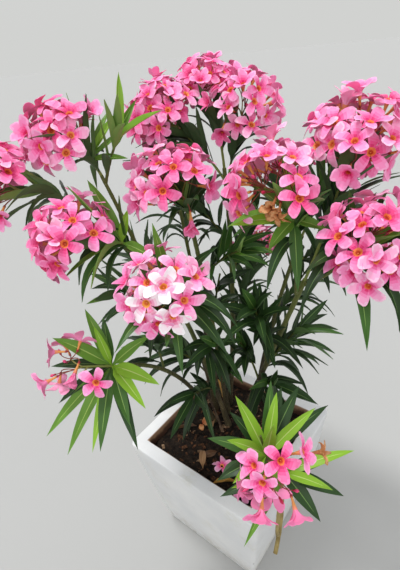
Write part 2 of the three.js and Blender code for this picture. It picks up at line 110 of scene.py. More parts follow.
class Value:
    """One output of a shader node, on which arithmetic adds Math nodes."""

    def __init__(self, paint, socket):
        self.paint, self.socket = paint, socket

    def maths(self, operation, first, second=0.0):
        return self.paint.node("ShaderNodeMath", {"operation": operation}, {0: first, 1: second})

    def __add__(self, other):
        return self.maths("ADD", self, other)

    def __sub__(self, other):
        return self.maths("SUBTRACT", self, other)

    def __rsub__(self, other):
        return self.maths("SUBTRACT", other, self)

    def __mul__(self, other):
        return self.maths("MULTIPLY", self, other)

    __radd__ = __add__
    __rmul__ = __mul__


class Paint:
    """The nodes of a material or a world, whose shader takes colours, numbers and Values."""

    def __init__(self, owner, shader="Principled BSDF"):
        owner.use_nodes = True
        self.tree = owner.node_tree
        self.shader = self.tree.nodes[shader]

    def dress(self, **shader):
        for name, value in shader.items():
            self.put(self.shader.inputs[name.replace("_", " ").title().replace("Ior", "IOR")], value)

    def put(self, socket, value):
        if isinstance(value, Value):
            self.tree.links.new(value.socket, socket)
        else:
            socket.default_value = value

    def node(self, kind, settings=None, sockets=None, output=0):
        made = self.tree.nodes.new(kind)
        for name, value in (settings or {}).items():
            setattr(made, name, value)
        for name, value in (sockets or {}).items():
            self.put(made.inputs[name], value)
        return Value(self, made.outputs[output])

    def place(self, part=None):
        whole = self.node("ShaderNodeTexCoord", output="Object")
        if part is None:
            return whole
        return self.node("ShaderNodeSeparateXYZ", sockets={0: whole}, output=part)

    def grain(self, scale, detail=3, rough=0.6, stretch=None):
        place = self.place()
        if stretch:
            place = self.node("ShaderNodeMapping", sockets={"Vector": place, "Scale": stretch})
        return self.node("ShaderNodeTexNoise", sockets={
            "Vector": place, "Scale": scale, "Detail": detail, "Roughness": rough})

    def ramp(self, value, low, high):
        return self.node("ShaderNodeMapRange", {"interpolation_type": "SMOOTHSTEP"}, {
            "Value": value, "From Min": low, "From Max": high})

    def blend(self, share, first, second):
        return self.node("ShaderNodeMix", {"data_type": "RGBA"}, {
            "Factor": share, 6: first, 7: second}, output=2)

    def near(self, place, radius):
        far = self.node("ShaderNodeVectorMath", {"operation": "DISTANCE"},
                        {0: self.place(), 1: place}, "Value")
        return 1 - self.ramp(far, 0.25 * radius, radius)

    def bump(self, height, distance, strength=1.0):
        return self.node("ShaderNodeBump", sockets={
            "Height": height, "Distance": distance, "Strength": strength})


def finish(name, **shader):
    """A material that is the same all over, and its Paint for what isn't."""
    material = bpy.data.materials.new(name)
    paint = Paint(material)
    paint.dress(**shader)
    return material, paint


def colour(code):
    """A shader colour from a screen colour written as rrggbb."""
    shares = [int(code[i:i + 2], 16) / 255 for i in (0, 2, 4)]
    return (*(s / 12.92 if s <= 0.04045 else ((s + 0.055) / 1.055) ** 2.4 for s in shares), 1)


def mix(low, high, share):
    return low + (high - low) * share


def mesh_of(name, shape):
    mesh = bpy.data.meshes.new(name)
    shape.to_mesh(mesh)
    shape.free()
    return mesh


def add_mesh(name, mesh, materials, smooth=True):
    """An object of a finished mesh, which rides on the plant's only body."""
    for material in materials:
        mesh.materials.append(material)
    if smooth:
        mesh.shade_smooth()
        mesh.set_sharp_from_angle(angle=SMOOTH_TURN)
    else:
        mesh.shade_flat()
    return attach(add_object(name, mesh), "root")


def add_piece(name, shape, materials, smooth=True):
    return add_mesh(name, mesh_of(name, shape), materials, smooth)


def square_ring(side, steps):
    """A flat face: a square with round corners, cut into short edges."""
    shape = bmesh.new()
    bmesh.ops.create_grid(shape, x_segments=1, y_segments=1, size=0.5 * side)
    bmesh.ops.bevel(shape, geom=shape.verts[:], offset=CORNER_RADIUS, offset_type="OFFSET",
                    affect="VERTICES", segments=CORNER_STEPS, profile=0.5, material=-1)
    long_edges = [edge for edge in shape.edges if edge.calc_length() > 0.5 * side]
    bmesh.ops.subdivide_edges(shape, edges=long_edges, cuts=steps)
    return shape


def outer_side(height):
    up = height / POT_HEIGHT
    return mix(FOOT_SIDE, RIM_SIDE, up) + 2 * SIDE_BULGE * math.sin(math.pi * up)


def inner_side(height):
    up = (height - FLOOR_THICK) / (POT_HEIGHT - FLOOR_THICK)
    return mix(FOOT_SIDE - 2 * FLOOR_WALL, RIM_SIDE - 2 * RIM_WIDTH, up)


def rounded(start, end):
    """Rows of [height, side] round an edge, from one row to another a quarter turn away."""
    turns = [math.pi / 2 * step / EDGE_STEPS for step in range(EDGE_STEPS + 1)]
    return [(mix(start[0], end[0], math.sin(turn)), mix(end[1], start[1], math.cos(turn)))
            for turn in turns]


def pot_rows():
    low, high = EDGE_ROUND, POT_HEIGHT - EDGE_ROUND
    foot = [(height, side) for side, height in rounded(
        (outer_side(0) - 2 * low, 0), (outer_side(low), low))]
    heights = [mix(low, high, step / SIDE_ROWS) for step in range(1, SIDE_ROWS)]
    rim_out = rounded((high, outer_side(high)), (POT_HEIGHT, outer_side(high) - 2 * EDGE_ROUND))
    rim_in = [(height, side) for side, height in rounded(
        (inner_side(high) + 2 * EDGE_ROUND, POT_HEIGHT), (inner_side(high), high))]
    inside = [(height, inner_side(height)) for height in INSIDE_HEIGHTS]
    return foot + [(height, outer_side(height)) for height in heights] + rim_out + rim_in + inside


def pot_shape():
    rows = pot_rows()
    shape = square_ring(rows[0][1], SIDE_STEPS)
    cap = next(iter(shape.faces))
    cap.normal_flip()
    for (_, last), (height, side) in zip(rows, rows[1:]):
        raised = bmesh.ops.extrude_face_region(shape, geom=[cap, *cap.edges, *cap.verts])["geom"]
        cap = next(part for part in raised if isinstance(part, bmesh.types.BMFace))
        bmesh.ops.scale(shape, vec=(side / last, side / last, 0), verts=cap.verts)
        bmesh.ops.translate(shape, vec=(0, 0, height), verts=cap.verts)
    bmesh.ops.recalc_face_normals(shape, faces=shape.faces)
    return shape


def wear(shape):
    """Hand finishing and knocks: a slight waviness, and chips out of the rim's edge."""
    for corner in shape.verts:
        if corner.co.z > 0.001:
            start = min(1, corner.co.z / WAVE_START)
            corner.co += WAVE_HEIGHT * noise.noise_vector(corner.co * WAVE_SCALE) * start
        for chip in CHIP_PLACES:
            near = 1 - (corner.co - chip).length / CHIP_RADIUS
            if near > 0:
                inward = Vector((-corner.co.x, -corner.co.y, -CHIP_SLOPE)).normalized()
                corner.co += inward * CHIP_DEPTH * near


def cut_drains(pot):
    shape = bmesh.new()
    for x in (-DRAIN_OFFSET, DRAIN_OFFSET):
        for y in (-DRAIN_OFFSET, DRAIN_OFFSET):
            bmesh.ops.create_cone(shape, cap_ends=True, segments=DRAIN_SIDES, radius1=DRAIN_HOLE / 2,
                                  radius2=DRAIN_HOLE / 2, depth=4 * FLOOR_THICK,
                                  matrix=Matrix.Translation((x, y, 0)))
    drains = add_object("drains", mesh_of("drains", shape))
    cut = pot.modifiers.new("drains", "BOOLEAN")
    cut.object = drains
    bpy.context.view_layer.update()
    holed = bpy.data.meshes.new_from_object(pot.evaluated_get(bpy.context.evaluated_depsgraph_get()))
    pot.modifiers.clear()
    pot.data = holed
    bpy.data.objects.remove(drains)


def white_paint():
    material, paint = finish("white_paint", specular_ior_level=0.35)
    across = paint.place("X")
    deep = paint.place("Y")
    height = paint.place("Z")
    reach = across.maths("MAXIMUM", across.maths("ABSOLUTE", across), deep.maths("ABSOLUTE", deep))
    inside = (1 - paint.ramp(reach, *INNER_EDGE)) * paint.ramp(height, *WALL_FOOT)
    blotch = paint.grain(9, 4)
    stain = paint.ramp(blotch, 0.52, 0.72) * paint.ramp(paint.grain(40, 4), 0.35, 0.7)
    # Darker and browner towards the foot of the pot, in blotches.
    low_darkening = 1 - paint.ramp(height + 0.05 * blotch, 0.02, 0.12)
    low_darkening = low_darkening * paint.ramp(paint.grain(60), 0.35, 0.65)
    speck = paint.ramp(paint.grain(420, 2), 0.66, 0.74)
    soil_line = paint.ramp(1 - 30 * (height - SOIL_TOP) + 0.9 * paint.grain(45, 4), 0.75, 1.15)
    white = paint.blend(paint.ramp(paint.grain(7, 3), 0.3, 0.75), colour("dadbdc"), colour("e6e6e5"))
    for place, radius in STAINS:
        patch = paint.near(place, radius) * paint.ramp(paint.grain(70, 4), 0.35, 0.65)
        stain = stain.maths("MAXIMUM", stain, patch)
    stained = paint.blend(stain * 0.25, white, colour("c3bea0"))
    darkened_low = paint.blend(low_darkening * 0.5, stained, colour("a79a83"))
    dusty = paint.blend(speck * 0.35, darkened_low, colour("b5b0a2"))
    wall = paint.blend(soil_line, colour("94745a"), colour("4a3226"))
    paint.dress(
        base_color=paint.blend(inside, dusty, wall),
        roughness=0.42 + 0.25 * blotch,
        normal=paint.bump(paint.grain(55, 4) + 0.25 * paint.grain(700, 2), 0.0016, 0.6),
    )
    return material


# With a seed, noise_vector gives the same waves and crumbs each run.
noise.seed_set(NOISE_SEED)
pot_form = pot_shape()
wear(pot_form)
pot = add_piece("white_pot", pot_form, [white_paint()])
cut_drains(pot)
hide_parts("pot")

# Soil: dark damp potting mix, uneven and crumbly on top, with bits of bark and twig in it.
# It fills the pot to a little below the rim.
SOIL_STEPS = 110
SOIL_GAP = 0.0006
SOIL_BODY = 0.3
SOIL_CORNER = CORNER_RADIUS * 0.8
CLUMP_HEIGHT, CLUMP_SCALE, LUMP_HEIGHT, LUMP_SCALE = 0.0052, 34, 0.0055, 80
MOUND_PLACE, MOUND_HEIGHT, MOUND_SPREAD = (-0.04, 0.05), 0.008, 0.009
CRUMBS, CRUMB_EDGE, CRUMB_TILT = 900, 0.012, 0.7
CLOD = ((0.0012, 0.0042), (0.6, 1), (0.5, 0.9))
BARK_BIT = ((0.0022, 0.0105), (0.25, 0.6), (0.16, 0.16))


def soil_height(x, y):
    place = Vector((x, y, 0))
    clumps = CLUMP_HEIGHT * noise.fractal(place * CLUMP_SCALE, 0.8, 2.1, 4)
    lumps = LUMP_HEIGHT * max(0, noise.noise(place * LUMP_SCALE))
    mound_x, mound_y = MOUND_PLACE
    mound = MOUND_HEIGHT * math.exp(-((x - mound_x) ** 2 + (y - mound_y) ** 2) / MOUND_SPREAD)
    return SOIL_TOP - 0.002 + clumps + lumps + mound


def soil_shape():
    half = 0.5 * inner_side(SOIL_TOP) - SOIL_GAP
    centre = Vector((half - SOIL_CORNER, half - SOIL_CORNER))
    shape = bmesh.new()
    bmesh.ops.create_grid(shape, x_segments=SOIL_STEPS, y_segments=SOIL_STEPS, size=half)
    whole = shape.faces[:] + shape.edges[:] + shape.verts[:]
    block = bmesh.ops.extrude_face_region(shape, geom=whole)["geom"]
    sunk = {part for part in block if isinstance(part, bmesh.types.BMVert)}
    for corner in shape.verts:
        flat = Vector((abs(corner.co.x), abs(corner.co.y)))
        out = flat - centre
        if out.x > 0 and out.y > 0:
            flat = centre + out.normalized() * max(out)
        corner.co.x = math.copysign(flat.x, corner.co.x)
        corner.co.y = math.copysign(flat.y, corner.co.y)
        if corner in sunk:
            corner.co.z = SOIL_BODY
            corner.co.xy = corner.co.xy * inner_side(SOIL_BODY) / inner_side(SOIL_TOP)
        else:
            corner.co.z = soil_height(corner.co.x, corner.co.y)
    bmesh.ops.recalc_face_normals(shape, faces=shape.faces)
    return shape


def earth(name, dark, light, scale):
    material, paint = finish(name, specular_ior_level=0.2)
    clods = paint.grain(scale, 5, 0.7)
    fine = paint.grain(6 * scale, 3, 0.6)
    paint.dress(
        base_color=paint.blend(paint.ramp(clods + 0.35 * fine, 0.55, 0.9), colour(dark), colour(light)),
        roughness=0.75 + 0.2 * fine,
        normal=paint.bump(clods + 0.5 * fine, 0.003, 0.9),
    )
    return material


soil = add_piece("potting_soil", soil_shape(), [earth("soil", "0f0a07", "33271d", 70)])
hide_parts("soil")


def chance(seed, count):
    """The same number from 0 to 1 for the same seed and count."""
    wave = math.sin(seed * 12.9898 + count * 78.233) * 43758.5453
    return wave - math.floor(wave)


def draws(seed, first, count):
    return [chance(seed, first + which) for which in range(count)]


def crumb_shape(seed, count, form):
    """Clods, or flat bark bits, strewn over the soil."""
    sizes, widths, depths = form
    reach = 0.5 * inner_side(SOIL_TOP) - CRUMB_EDGE
    shape = bmesh.new()
    for k in range(count):
        draw = draws(seed, 10 * k, 7)
        x, y = ((2 * share - 1) * reach for share in draw[:2])
        size = mix(*sizes, draw[2] ** 2)
        thin = (1, mix(*widths, draw[3]), mix(*depths, draw[4]))
        tilt = Matrix.Rotation(CRUMB_TILT * (draw[6] - 0.5), 4, "X")
        turn = Matrix.Rotation(6.3 * draw[5], 4, "Z") @ tilt
        sit = Matrix.Translation((x, y, soil_height(x, y) + 0.3 * size * thin[2]))
        place = sit @ turn @ Matrix.Diagonal((*(size * share for share in thin), 1))
        if form is BARK_BIT:
            bmesh.ops.create_cube(shape, size=2, matrix=place)
        else:
            bmesh.ops.create_icosphere(shape, subdivisions=1, radius=1, matrix=place)
    for corner in shape.verts:
        corner.co += 0.0005 * noise.noise_vector(corner.co * 900)
    return shape


for name, seed, count, form, dark, light in (
    ("soil_crumbs", 91, CRUMBS, CLOD, "150d08", "463022"),
    ("bark_bits", 92, CRUMBS // 4, BARK_BIT, "2e1c11", "744d33"),
    ("pale_bits", 93, CRUMBS // 14, BARK_BIT, "654c35", "b09275"),
):
    bits = add_piece(name, crumb_shape(seed, count, form), [earth(name, dark, light, 160)],
                     smooth=form is CLOD)

# Stems and boughs: living wood with smooth olive bark, browner and rougher low down, ringed
# by the scars of old whorls of leaves. They are worked out in millimetres, as the leaves and
# flowers are, by the rule that the solids were grown by.
TO_METRES = 0.001
UP = Vector((0, 0, 1))
GAP = 0.3
START_STEP = 0.05
NEARBY, NEARBY_BEADS, LIMB_BEADS = 0.1, 80, 60
LIMB_SIDES, STEM_STEPS, BOUGH_STEPS = 8, 7, 4
BOUGH_RADIUS = (3.8, 3.2)
FLARE, FLARE_SHARE = 0.5, 0.12
BARK_SIDES, BARK_STEP, BARK_SUNK = 14, 5.5, 1.4
SCAR_STEP, SCAR_WIDTH, SCAR_RISE, SCAR_SLANT = 27, 1.5, 0.11, 3
# A stem's row holds its foot on the soil, its knee, its tip and its radius at each end, and a
# bough's row its stem, the share of it where the bough starts, its knee and its tip.
STEMS = {
    "stem_middle_back": [(-66, 85), (-15, 85, 700), (-48, 103, 1049), (7.5, 4.2)],
    "stem_middle_front": [(-48, 52), (-60, 30, 760), (4, -88, 1012), (7, 4)],
    "stem_front": [(-22, 18), (-55, -40, 700), (48, -198, 905), (6.5, 3.8)],
    "stem_left": [(-88, 46), (-84, 10, 700), (-45, -189, 985), (7, 4)],
    "stem_right": [(-8, 68), (100, 22, 630), (192, 1, 892), (7.5, 4.5)],
    "stem_low_left": [(-66, 8), (-78, -70, 620), (-46, -252, 764), (6.5, 3.8)],
    "stem_low_right": [(74, -8), (214, -45, 460), (250, -210, 342), (6.5, 4.5)],
    "stem_back_right": [(14, 100), (40, 120, 640), (112, 158, 900), (7, 4)],
    "stem_back_left": [(-108, 92), (-150, 100, 620), (-190, 104, 930), (7, 4)],
    "dead_stick": [(-29, -6), (-60, 10, 380), (-101, 22, 437), (4, 3.2)],
}
BOUGHS = {
    "bough_left_high": ["stem_left", 0.93, (-85, -165, 1030), (-124, -162, 1098)],
    "bough_left_outer": ["stem_left", 0.97, (-85, -215, 1010), (-128, -226, 1058)],
    "bough_right_front": ["stem_right", 0.9, (190, -30, 930), (203, -62, 1000)],
    "bough_right_outer": ["stem_right", 0.97, (240, -10, 920), (272, -42, 972)],
    "bough_low_right": ["stem_low_right", 0.9, (262, -238, 450), (266, -216, 640)],
}


class Curve:
    """A bend through three points, as every stem, shoot, stalk, leaf and petal has."""

    def __init__(self, foot, knee, tip):
        self.foot, self.knee, self.tip = Vector(foot), Vector(knee), Vector(tip)

    def at(self, t):
        return self.foot * (1 - t) ** 2 + self.knee * 2 * t * (1 - t) + self.tip * t ** 2

    def along(self, t):
        return ((self.knee - self.foot) * (1 - t) + (self.tip - self.knee) * t).normalized()

    def length(self, steps=200):
        places = [self.at(step / steps) for step in range(steps + 1)]
        return sum((b - a).length for a, b in zip(places, places[1:]))


class Limb:
    """A stem or bough: its curve, its radius along it and its solid's number of steps."""

    def __init__(self, curve, thick, thin, steps, rooted):
        self.curve, self.thick, self.thin, self.steps, self.rooted = curve, thick, thin, steps, rooted

    def radius(self, t):
        flare = FLARE * self.thick * max(0, 1 - t / FLARE_SHARE) if self.rooted else 0
        return mix(self.thick, self.thin, t) + flare

    def middle(self, t):
        """A place along the straight steps that the solid has in place of the curve."""
        step = min(math.floor(t * self.steps), self.steps - 1)
        start, end = (self.curve.at(corner / self.steps) for corner in (step, step + 1))
        return start.lerp(end, t * self.steps - step)


def across(along, chord):
    level = Vector((1, 0, 0)) if abs(chord.x) < abs(chord.y) else Vector((0, 1, 0))
    side = along.cross(level).normalized()
    return side, side.cross(along)


def side_start(limb, at, knee, tip, radius, sides):
    """Where a shoot starts, just clear of the limb that carries it."""
    root = limb.middle(at)
    if at == 1:
        return root + limb.curve.along(1) * GAP
    way = (knee - root).normalized()
    side, front = across(way, tip - root)
    shares = [at + NEARBY * (2 * i / NEARBY_BEADS - 1) for i in range(NEARBY_BEADS)]
    shares = [share for share in shares if 0 < share < 1]
    beads = np.array([limb.middle(share) for share in shares])
    reaches = np.array([limb.radius(share) + GAP for share in shares])
    ring = []
    for i in range(4 * sides):
        turn = i * 2 * math.pi / (4 * sides)
        apothem = math.cos(math.pi / sides) / math.cos(turn % (2 * math.pi / sides) - math.pi / sides)
        ring.append((side * math.sin(turn) + front * math.cos(turn)) * radius * apothem)
    ring = np.array(ring)
    out = limb.radius(at)
    while True:
        places = np.array(root + way * out) + ring
        if (np.linalg.norm(places[:, None] - beads, axis=2) > reaches).all():
            return root + way * out
        out += START_STEP


limbs = {}
for name, (foot, knee, tip, (thick, thin)) in STEMS.items():
    curve = Curve((*foot, SOIL_TOP / TO_METRES + GAP), knee, tip)
    limbs[name] = Limb(curve, thick, thin, STEM_STEPS, True)
for name, (stem, at, knee, tip) in BOUGHS.items():
    start = side_start(limbs[stem], at, Vector(knee), Vector(tip), BOUGH_RADIUS[0], LIMB_SIDES)
    limbs[name] = Limb(Curve(start, knee, tip), *BOUGH_RADIUS, BOUGH_STEPS, False)


def rod_shape(sides, steps, radius_at=lambda t: 1):
    """A closed round rod of length 1 along z, whose radius follows a rule."""
    shape = bmesh.new()
    bmesh.ops.create_cone(shape, cap_ends=True, segments=sides, radius1=1, radius2=1, depth=1,
                          matrix=Matrix.Translation((0, 0, 0.5)))
    lengthwise = [edge for edge in shape.edges if abs(edge.verts[0].co.z - edge.verts[1].co.z) > 0.5]
    bmesh.ops.subdivide_edges(shape, edges=lengthwise, cuts=steps - 1, use_grid_fill=True)
    for corner in shape.verts:
        corner.co.xy = corner.co.xy * radius_at(corner.co.z)
    return shape


def bark_shape(limb):
    """A round rod along the limb's curve, sunk in what carries it and ringed by scars."""
    curve = limb.curve
    length = curve.length()
    rod = rod_shape(BARK_SIDES, round(length / BARK_STEP) + 1)
    sunk = limb.radius(0) * BARK_SUNK
    for corner in rod.verts:
        share = corner.co.z
        t = max(0, mix(-sunk / length, 1, share))
        side, front = across(curve.along(t), curve.tip - curve.foot)
        way = side * corner.co.x + front * corner.co.y
        scar = (t * length + SCAR_SLANT * way.x) % SCAR_STEP - SCAR_STEP / 2
        swell = 1 + SCAR_RISE * math.exp(-(scar / SCAR_WIDTH) ** 2)
        place = curve.at(t) - curve.along(0) * max(0, -mix(-sunk, length, share))
        ripple = 1 + 0.07 * noise.noise(place * 0.12) + 0.05 * noise.noise(way * 2 + place * 0.02)
        corner.co = (place + way * limb.radius(t) * swell * ripple) * TO_METRES
    bmesh.ops.recalc_face_normals(rod, faces=rod.faces)
    return rod


def bark(name, low, high, young):
    material, paint = finish(name, specular_ior_level=0.3)
    height = paint.place("Z")
    streak = paint.grain(60, 4, 0.65, (1, 1, 0.16))
    fleck = paint.ramp(paint.grain(320, 2), 0.58, 0.7)
    lower = paint.blend(paint.ramp(streak, 0.35, 0.7), colour(low), colour(high))
    green = paint.blend(paint.ramp(height + 0.25 * streak, 0.62, 0.98), lower, colour(young))
    paint.dress(
        base_color=paint.blend(fleck * 0.4, green, colour("a09a80")),
        roughness=0.55 + 0.25 * streak,
        normal=paint.bump(streak + 0.3 * paint.grain(500, 2), 0.0008, 0.8),
    )
    return material


green_bark = bark("bark", "2f2a1c", "544a31", "5d6431")
dead_bark = bark("dead_bark", "35251a", "5f4936", "4f3b2b")
tan_bark = bark("tan_bark", "7d6b3c", "a3905a", "7b8140")
own_bark = {"dead_stick": dead_bark, "stem_low_right": tan_bark, "bough_low_right": tan_bark}
for name, limb in limbs.items():
    stem = add_piece(f"{name}_bark", bark_shape(limb), [own_bark.get(name, green_bark)])
    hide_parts(name)
    "dead_wood" if name == "dead_stick" else "bark"

# Shoots: each mass of leaves has one green shoot, from its limb to the foot of its truss or
# to its own tip. A mass keeps to the space that is nearer its own shoot than any other.
TWIG_FOOT, TWIG_SIDES = 3.6, 3
SHOOT_LIFT, SHOOT_RADIUS, SHOOT_END, SHOOT_JOINT = 0.35, 2.9, 0.66, 0.08
SHOOT_MARKS = (0.1, 0.3, 0.5, 0.7, 0.9, 1)
DOME_RADIUS, DOME_FOOT = 44, 0.6
TRUSS_REACH = 26
SPACE_MARGIN, LIMB_MARGIN, POT_MARGIN = 0.8, 6.5, 2
# A row holds the limb and the share of it where the shoot starts, the middle of the truss, the
# way that it faces, its size and its flowers. A leafy shoot's row ends with its tip.
TRUSSES = {
    "top_left": ["stem_middle_back", 0.96, (-146, 32, 1174), (-0.3, -0.5, 0.8), 1.2, 15],
    "top_middle": ["stem_middle_back", 1, (-108, 138, 1206), (-0.2, -0.1, 1), 1.1, 14],
    "top_right": ["stem_middle_back", 0.93, (2, 118, 1178), (0.5, -0.3, 0.8), 1.2, 16],
    "middle": ["stem_middle_front", 1, (-3, -113, 1088), (0, -0.5, 0.8), 1.35, 16],
    "right_front": ["bough_right_front", 1, (177, -94, 1103), (-0.2, -0.6, 0.7), 1.15, 13],
    "right_top": ["stem_right", 1, (246, 20, 1146), (0.2, -0.3, 0.9), 1.3, 15],
    "right_outer": ["bough_right_outer", 1, (314, -64, 1024), (0.7, -0.4, 0.5), 1.15, 13],
    "left_high": ["bough_left_high", 1, (-155, -206, 1172), (-0.2, -0.5, 0.8), 1.1, 14],
    "left_outer": ["bough_left_outer", 1, (-198, -306, 1120), (-0.5, -0.6, 0.6), 1.1, 12],
    "left_front": ["stem_left", 1, (-76, -280, 1036), (-0.2, -0.6, 0.7), 1.1, 13],
    "front": ["stem_front", 1, (83, -249, 968), (0.2, -0.6, 0.8), 1.1, 13],
    "low_left": ["stem_low_left", 1, (-90, -348, 822), (-0.6, -0.6, 0.5), 1, 6],
    "low_right": ["bough_low_right", 1, (267, -262, 690), (0.2, -0.9, 0.2), 1.1, 11],
    "back_left": ["stem_back_left", 1, (-238, 130, 1110), (-0.6, 0.4, 0.7), 1.1, 12],
    "back_left_low": ["stem_back_left", 0.8, (-262, 190, 960), (-0.6, 0.7, 0.4), 1, 9],
    "back_middle": ["stem_back_right", 0.94, (40, 196, 1040), (-0.1, 0.8, 0.7), 1.1, 12],
    "back_right": ["stem_back_right", 1, (192, 166, 1090), (0.4, 0.5, 0.8), 1.1, 12],
    "back_right_low": ["stem_back_right", 0.85, (246, 162, 926), (0.8, 0.5, 0.4), 1, 9],
    "back_low": ["stem_middle_back", 0.35, (-66, 262, 800), (-0.1, 0.9, 0.4), 1, 8],
}
LEAFY = {
    "left_young": ["bough_left_high", 0.9, (-88, -140, 1160)],
    "low_left": ["stem_low_left", 0.7, (-84, -150, 800)],
    "low_right_young": ["bough_low_right", 0.7, (236, -240, 742)],
    "left": ["stem_left", 0.52, (-176, -66, 880)],
    "left_low": ["stem_left", 0.24, (-150, -60, 640)],
    "back_left": ["stem_back_left", 0.42, (-236, 24, 800)],
    "middle": ["stem_middle_front", 0.45, (28, -40, 880)],
    "middle_low": ["stem_middle_front", 0.22, (32, -20, 610)],
    "front": ["stem_front", 0.5, (64, -110, 760)],
    "front_low": ["stem_front", 0.25, (-10, -120, 590)],
    "right": ["stem_right", 0.5, (130, -74, 850)],
    "right_low": ["stem_right", 0.25, (140, -20, 620)],
    "back": ["stem_back_right", 0.48, (110, 226, 800)],
    "back_low": ["stem_back_right", 0.22, (90, 150, 600)],
    "high": ["stem_middle_back", 0.62, (40, 64, 960)],
    "high_front": ["stem_middle_front", 0.7, (84, -50, 950)],
    "left_front": ["stem_left", 0.62, (-104, -184, 870)],
    "centre": ["stem_right", 0.36, (84, -60, 740)],
    "high_back": ["stem_middle_back", 0.74, (-120, 40, 1010)],
    "back_right": ["stem_right", 0.4, (160, 66, 730)],
}


class Shoot:
    """One mass's shoot, and the truss of flowers at its tip where it has one."""

    def __init__(self, name, seed, limb, at, tip):
        self.name, self.seed, self.truss = name, seed, None
        self.root = limb.curve.at(at)
        reach = (tip - self.root).length
        lead = limb.curve.along(1)
        if at < 1:
            lead = ((tip - self.root).normalized() + UP * SHOOT_LIFT).normalized()
        knee = self.root + lead * 0.5 * reach
        self.curve = Curve(side_start(limb, at, knee, tip, TWIG_FOOT, TWIG_SIDES), knee, tip)
        self.length = self.curve.length()


shoots = []
for name, (limb, at, head, faces, size, flowers) in TRUSSES.items():
    faces = Vector(faces).normalized()
    foot = Vector(head) - faces * DOME_FOOT * DOME_RADIUS * size
    shoot = Shoot(f"blossom_{name}", len(shoots) + 1, limbs[limb], at, foot)
    shoot.truss = (Vector(head), faces, size, flowers)
    shoots.append(shoot)
for name, (limb, at, tip) in LEAFY.items():
    shoots.append(Shoot(f"leaves_{name}", len(shoots) + 1, limbs[limb], at, Vector(tip)))

marks = [(owner, shoot.curve.at(t), 0) for owner, shoot in enumerate(shoots) for t in SHOOT_MARKS]
marks += [(owner, shoot.truss[0], TRUSS_REACH) for owner, shoot in enumerate(shoots) if shoot.truss]
mark_owners = np.array([owner for owner, _, _ in marks])
mark_places = np.array([place for _, place, _ in marks])
mark_reaches = np.array([reach for _, _, reach in marks])
beads = [(limb.middle(i / LIMB_BEADS), limb.radius(i / LIMB_BEADS))
         for limb in limbs.values() for i in range(LIMB_BEADS + 1)]
bead_places = np.array([place for place, _ in beads])
bead_reaches = np.array([radius + LIMB_MARGIN for _, radius in beads])


def clear_of_pot(places):
    out = np.abs(places[:, :2]).max(axis=1)
    height = places[:, 2]
    pot_high, rim = POT_HEIGHT / TO_METRES, RIM_SIDE / TO_METRES / 2
    outside = (out > rim + POT_MARGIN) | (height > pot_high + POT_MARGIN)
    within = out < rim - RIM_WIDTH / TO_METRES - POT_MARGIN
    over_soil = within & (height > SOIL_TOP / TO_METRES + POT_MARGIN)
    return ((outside & (height > POT_MARGIN)) | over_soil).all()


def fits(owner, places, slack=0.0):
    """True if all the places lie in the owner's space and clear of the pot and the limbs."""
    places = np.array(places)
    if not clear_of_pot(places):
        return False
    distances = np.linalg.norm(places[:, None] - mark_places, axis=2) - mark_reaches
    own = distances[:, mark_owners == owner].min(axis=1)
    other = distances[:, mark_owners != owner].min(axis=1)
    if not (own + 2 * SPACE_MARGIN < other + slack).all():
        return False
    return (np.linalg.norm(places[:, None] - bead_places, axis=2) > bead_reaches - slack / 4).all()


class Template:
    """A small shape to be copied: corners at (across, off, t) and a material per face."""

    def __init__(self, shape):
        bmesh.ops.recalc_face_normals(shape, faces=shape.faces)
        self.corners = np.array([corner.co for corner in shape.verts])
        shape.verts.index_update()
        self.faces = [[corner.index for corner in face.verts] for face in shape.faces]
        self.zones = np.array([face.material_index for face in shape.faces])
        shape.free()


class Copies:
    """Where the copies of a template go: bent along curves, with a width and a turn each."""

    def __init__(self, template):
        self.template, self.rows = template, []

    def add(self, curve, flank, wide, deep, twist=0.0, look=0):
        self.rows.append((*curve.foot, *curve.knee, *curve.tip, *flank, wide, deep, twist, look))

    def corners(self):
        rows = np.array(self.rows)
        foot, knee, tip, flank = (rows[:, i:i + 3][:, None] for i in (0, 3, 6, 9))
        wide, deep, twist = (rows[:, i][:, None, None] for i in (12, 13, 14))
        x, y, t = (self.template.corners[:, i][None, :, None] for i in range(3))
        place = foot * (1 - t) ** 2 + knee * 2 * t * (1 - t) + tip * t ** 2
        along = (knee - foot) * (1 - t) + (tip - knee) * t
        along = along / np.linalg.norm(along, axis=2, keepdims=True)
        rise = np.cross(along, flank + 0 * along)
        rise = rise / np.linalg.norm(rise, axis=2, keepdims=True)
        side = np.cross(rise, along)
        turn = twist * t
        turned_side = side * np.cos(turn) + rise * np.sin(turn)
        turned_rise = rise * np.cos(turn) - side * np.sin(turn)
        return (place + turned_side * x * wide + turned_rise * y * deep) * TO_METRES

    def mesh(self, name, zones):
        """All the copies as one mesh, in which look and zone choose a face's material."""
        corners = self.corners()
        copies, count = corners.shape[:2]
        sizes = np.array([len(face) for face in self.template.faces])
        loops = np.array([index for face in self.template.faces for index in face])
        looks = np.array(self.rows)[:, 15].astype(int)
        mesh = bpy.data.meshes.new(name)
        mesh.vertices.add(copies * count)
        mesh.vertices.foreach_set("co", corners.ravel())
        mesh.loops.add(copies * len(loops))
        order = np.arange(copies)[:, None]
        mesh.loops.foreach_set("vertex_index", (loops + order * count).ravel())
        mesh.polygons.add(copies * len(sizes))
        starts = np.concatenate(([0], np.cumsum(sizes)[:-1]))
        mesh.polygons.foreach_set("loop_start", (starts + order * len(loops)).ravel())
        faces = self.template.zones + looks[:, None] * zones
        mesh.polygons.foreach_set("material_index", faces.ravel())
        mesh.update(calc_edges=True)
        mesh.validate()
        return mesh


